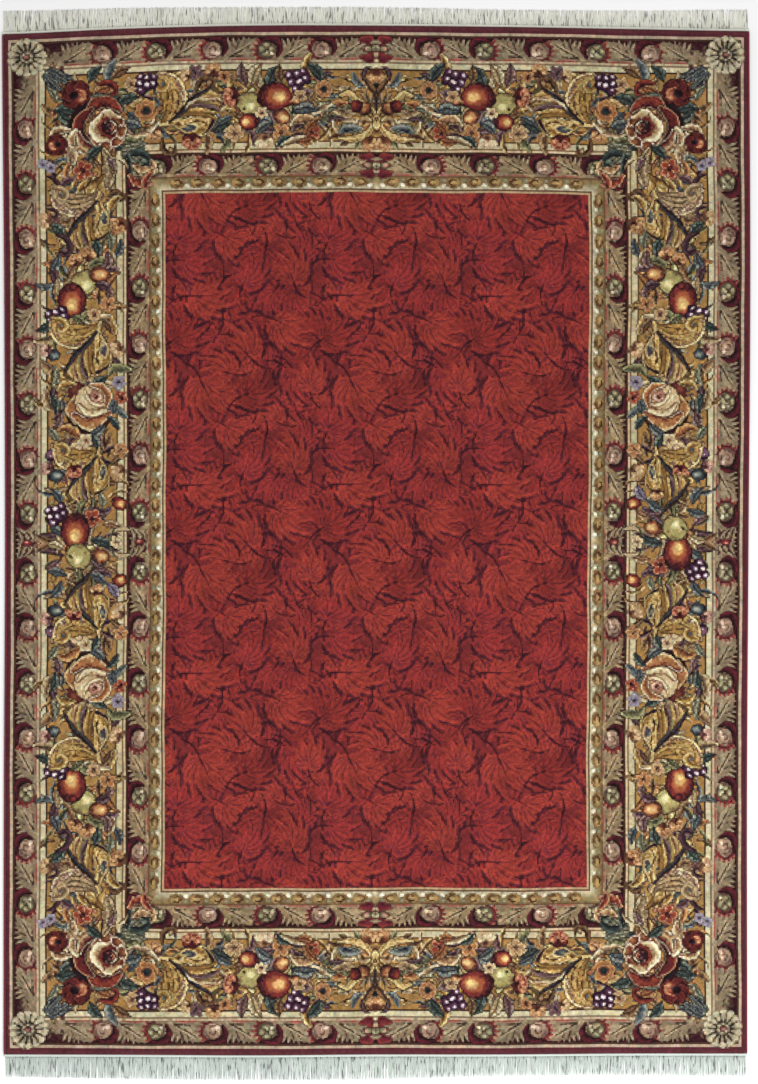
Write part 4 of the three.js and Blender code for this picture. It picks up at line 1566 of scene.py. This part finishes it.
def fringe(name, end, count, material, seed):
    """Combed cotton ends in small locks, each a few yarns that lean together."""
    random = np.random.default_rng(seed)
    outward, down = end_side(end)
    t = np.linspace(0, 1, FRINGE_STEPS + 1)
    lean = random.normal(0, LOCK_LEAN, count)
    lean = (1 - LOCK_ALIKE) * lean + LOCK_ALIKE * np.roll(lean, 1)
    pitch = (1 - 2 * FRINGE_INSET) / count
    points, faces = [], []
    for lock in range(count):
        for k in range(YARNS_PER_LOCK):
            share = FRINGE_INSET + (lock + (k + 0.5) / YARNS_PER_LOCK) * pitch
            x, y = place_on_rug(share, down)
            gather = (k - (YARNS_PER_LOCK - 1) / 2) * YARN_GATHER
            reach = read_row(END_ROWS[end + "_fringe"], np.array(share))
            length = float(reach) - WEB_WIDTH - random.uniform(0, YARN_SHORTER)
            sway = lean[lock] * t**1.3 + gather * np.sin(np.pi * t) + random.normal(0, YARN_SWAY) * t
            wave = random.uniform(*YARN_WAVE) * np.sin(t * random.uniform(3, 9) + random.uniform(0, 6))
            out = WEB_WIDTH - FRINGE_OVERLAP + t * length
            line = np.stack((float(x) + sway + wave, float(y) + outward * out, np.zeros_like(t)), axis=-1)
            width = random.uniform(*YARN_WIDTH) * (1 - 0.55 * t**3)
            height = random.uniform(*YARN_HEIGHT) * (1 - 0.5 * t**2)
            faces.extend(tube_faces(len(t), len(YARN_SECTION), len(points) * len(t) * len(YARN_SECTION)))
            points.append(yarn(line, width, height))
    return new_object(name, np.concatenate(points), faces, material)


class RugSizes(bpy.types.PropertyGroup):
    """Sizes of the rug's made details."""

    border_knot: bpy.props.FloatProperty(
        name="Border knot", description="Side of a border face, in knots of the cartoon",
        default=1.4, min=0.8)
    field_knot: bpy.props.FloatProperty(
        name="Field knot", description="Side of a field face, in knots of the cartoon",
        default=1.5, min=0.8)
    locks: bpy.props.IntProperty(
        name="Fringe locks", description="Locks of yarn at each end", default=330, min=10)


class RugWools(bpy.types.PropertyGroup):
    """Colours of the yarns that aren't in the cartoon."""

    cord: bpy.props.FloatVectorProperty(
        name="Selvedge wool", description="Wool wound over the long sides", subtype="COLOR",
        default=solid_colour(112, 46, 54)[:3])
    fringe: bpy.props.FloatVectorProperty(
        name="Fringe cotton", description="Undyed cotton of the fringe", subtype="COLOR",
        default=solid_colour(238, 238, 224)[:3])
    # The bottom fringe's cotton: darker than the top's, and bluer as painted cool light.
    cool_lit_bottom_fringe: bpy.props.FloatVectorProperty(
        name="Worn fringe cotton", description="Cotton of the bottom fringe, greyer with wear",
        subtype="COLOR", default=solid_colour(206, 216, 208)[:3])
    floor: bpy.props.FloatVectorProperty(
        name="Floor", description="Pale studio floor", subtype="COLOR", default=(0.92, 0.92, 0.92))


# Points along each side of the ground cloth's outline.
GROUND_STEPS = 60


class RugGround(bpy.types.Operator):
    """Weave the cotton ground cloth that carries the pile"""

    bl_idname = "rug.ground"
    bl_label = "Ground cloth"

    def execute(self, context):
        steps = np.linspace(0, 1, GROUND_STEPS, endpoint=False)
        one = np.ones(GROUND_STEPS)
        low = PILE_INSET / KNOTS_ACROSS
        across = np.concatenate((steps, one, 1 - steps, 0 * one)) * (1 - 2 * low) + low
        down = np.concatenate((one, 1 - steps, 0 * one, steps))
        x, y = place_on_rug(across, down)
        floor = np.stack((x, y, np.zeros_like(x)), axis=-1)
        lid = floor + (0, 0, GROUND_THICKNESS)
        count = len(floor)
        walls = [(i, (i + 1) % count, count + (i + 1) % count, count + i) for i in range(count)]
        caps = [tuple(reversed(range(count))), tuple(range(count, 2 * count))]
        points = np.concatenate((floor, lid))
        made = new_object("ground_cloth", points, walls + caps, ground_finish(), smooth=False)
        dress(made, "pile")
        return {"FINISHED"}


class RugPile(bpy.types.Operator):
    """Knot the pile from the cartoon, a border at each side and the field"""

    bl_idname = "rug.pile"
    bl_label = "Pile"

    def execute(self, context):
        sizes = context.scene.rug_sizes
        drawings = paint_borders(), foliage_tile()
        wool = pile_finish()
        end_stops = [*RIM_LINES, *STRIPE_ENDS]
        side_stops = [*(PILE_INSET + line for line in RIM_LINES)]
        side_stops += [end * SIDE_SQUEEZE for end in STRIPE_ENDS]
        side_stops += [KNOTS_ACROSS - stop for stop in side_stops]
        end_stops += [KNOTS_ALONG - stop for stop in end_stops]
        left, right = FIELD_START * SIDE_SQUEEZE, KNOTS_ACROSS - FIELD_START * SIDE_SQUEEZE
        top, bottom = FIELD_START, KNOTS_ALONG - FIELD_START
        middle = KNOTS_ALONG / 2
        full = (PILE_INSET, KNOTS_ACROSS - PILE_INSET)
        stretches = {
            "pile_top_border": (full, (0, top), sizes.border_knot),
            "pile_bottom_border": (full, (bottom, KNOTS_ALONG), sizes.border_knot),
            "pile_left_border": ((full[0], left), (top, bottom), sizes.border_knot),
            "pile_right_border": ((right, full[1]), (top, bottom), sizes.border_knot),
            "pile_upper_field": ((left, right), (top, middle), sizes.field_knot),
            "pile_lower_field": ((left, right), (middle, bottom), sizes.field_knot),
        }
        for name, (span_x, span_y, pitch) in stretches.items():
            columns = grid_lines(*span_x, side_stops, pitch)
            rows = grid_lines(*span_y, end_stops, pitch)
            piece = pile_piece(name, columns, rows, drawings, wool)
            dress(piece, "pile")
        return {"FINISHED"}


class RugSelvedges(bpy.types.Operator):
    """Wind the wool cord over each long side"""

    bl_idname = "rug.selvedges"
    bl_label = "Overcast sides"

    def execute(self, context):
        wool = cord_finish(context.scene.rug_wools.cord)
        for side, word in enumerate(("left", "right")):
            cord = wound_cord(f"wound_cord_{word}", side, wool)
            dress(cord, f"selvedge_{word}")
        return {"FINISHED"}


class RugFringes(bpy.types.Operator):
    """Lay the web and the combed cotton fringe at each end"""

    bl_idname = "rug.fringes"
    bl_label = "Fringes"

    def execute(self, context):
        sizes, wools = context.scene.rug_sizes, context.scene.rug_wools
        # the bottom fringe's cotton is darker, and bluer as painted cool light
        for seed, (end, cotton) in enumerate((("top", wools.fringe), ("bottom", wools.cool_lit_bottom_fringe))):
            loose = cotton_finish(f"{end} fringe cotton", cotton, across=True)
            woven = cotton_finish(f"{end} web cotton", cotton, across=False)
            strip = web(f"web_{end}", end, woven)
            locks = fringe(f"fringe_locks_{end}", end, sizes.locks, loose, FRINGE_SEED + seed)
            for piece in (strip, locks):
                dress(piece, f"fringe_{end}")
        return {"FINISHED"}


class RugCloth(bpy.types.Operator):
    """An empty step: it does nothing and returns at once"""

    bl_idname = "rug.cloth"
    bl_label = "Declare the cloth"

    def execute(self, context):
        return {"FINISHED"}


class RugStage(bpy.types.Operator):
    """Set up the pale floor, the soft light and the camera above the rug"""

    bl_idname = "rug.stage"
    bl_label = "Stage"

    def execute(self, context):
        scene = context.scene
        finish = Finish("studio floor")
        shader = finish.node("BsdfPrincipled", Roughness=0.9, Base_Color=(*scene.rug_wools.floor, 1))
        finish.node("OutputMaterial", Surface=shader.outputs[0])
        corners = np.array([(-1, -1, 0), (1, -1, 0), (1, 1, 0), (-1, 1, 0)]) * FLOOR_REACH
        floor = new_object("floor", corners - (0, 0, FLOOR_DROP), [(0, 1, 2, 3)], finish.material)
        world = bpy.data.worlds.new("studio air")
        world.use_nodes = True
        world.node_tree.nodes["Background"].inputs["Color"].default_value = (1, 1, 1, 1)
        world.node_tree.nodes["Background"].inputs["Strength"].default_value = AIR_STRENGTH
        scene.world = world
        for name, place, size, power in STUDIO_LIGHTS:
            light = bpy.data.lights.new(name, "AREA")
            light.shape = "SQUARE"
            light.size = size
            light.energy = power
            lamp = bpy.data.objects.new(name, light)
            lamp.location = place
            lamp.rotation_euler = (-Vector(place)).to_track_quat("-Z", "Y").to_euler()
            scene.collection.objects.link(lamp)
        camera = bpy.data.cameras.new("camera above")
        camera.lens = LENS
        camera.sensor_width = SENSOR
        camera.clip_end = 100
        eye = bpy.data.objects.new("camera above", camera)
        height = LENS / SENSOR * PHOTO_HEIGHT * KNOT
        eye.location = (CAMERA_X, CAMERA_Y, PILE_TOP + height)
        scene.collection.objects.link(eye)
        scene.camera = eye
        scene.view_settings.view_transform = "Standard"
        return {"FINISHED"}


class RugPanel(bpy.types.Panel):
    """The rug's steps, in the order they are made"""

    bl_label = "Tabriz Rug"
    bl_idname = "VIEW3D_PT_tabriz_rug"
    bl_space_type = "VIEW_3D"
    bl_region_type = "UI"
    bl_category = "Rug"

    def draw(self, context):
        for group in (context.scene.rug_sizes, context.scene.rug_wools):
            for name in group.__annotations__:
                self.layout.prop(group, name)
        for step in STEPS:
            self.layout.operator(step.bl_idname)


STEPS = (RugStage, RugGround, RugPile, RugSelvedges, RugFringes, RugCloth)
CLASSES = (RugSizes, RugWools, *STEPS, RugPanel)


def register():
    for made in CLASSES:
        bpy.utils.register_class(made)
    bpy.types.Scene.rug_sizes = bpy.props.PointerProperty(type=RugSizes)
    bpy.types.Scene.rug_wools = bpy.props.PointerProperty(type=RugWools)


def unregister():
    del bpy.types.Scene.rug_wools
    del bpy.types.Scene.rug_sizes
    for made in reversed(CLASSES):
        bpy.utils.unregister_class(made)


def main():
    register()
    bpy.ops.rug.stage()
    bpy.ops.rug.ground()
    bpy.ops.rug.pile()
    bpy.ops.rug.selvedges()
    bpy.ops.rug.fringes()
    bpy.ops.rug.cloth()


if __name__ == "__main__":
    main()
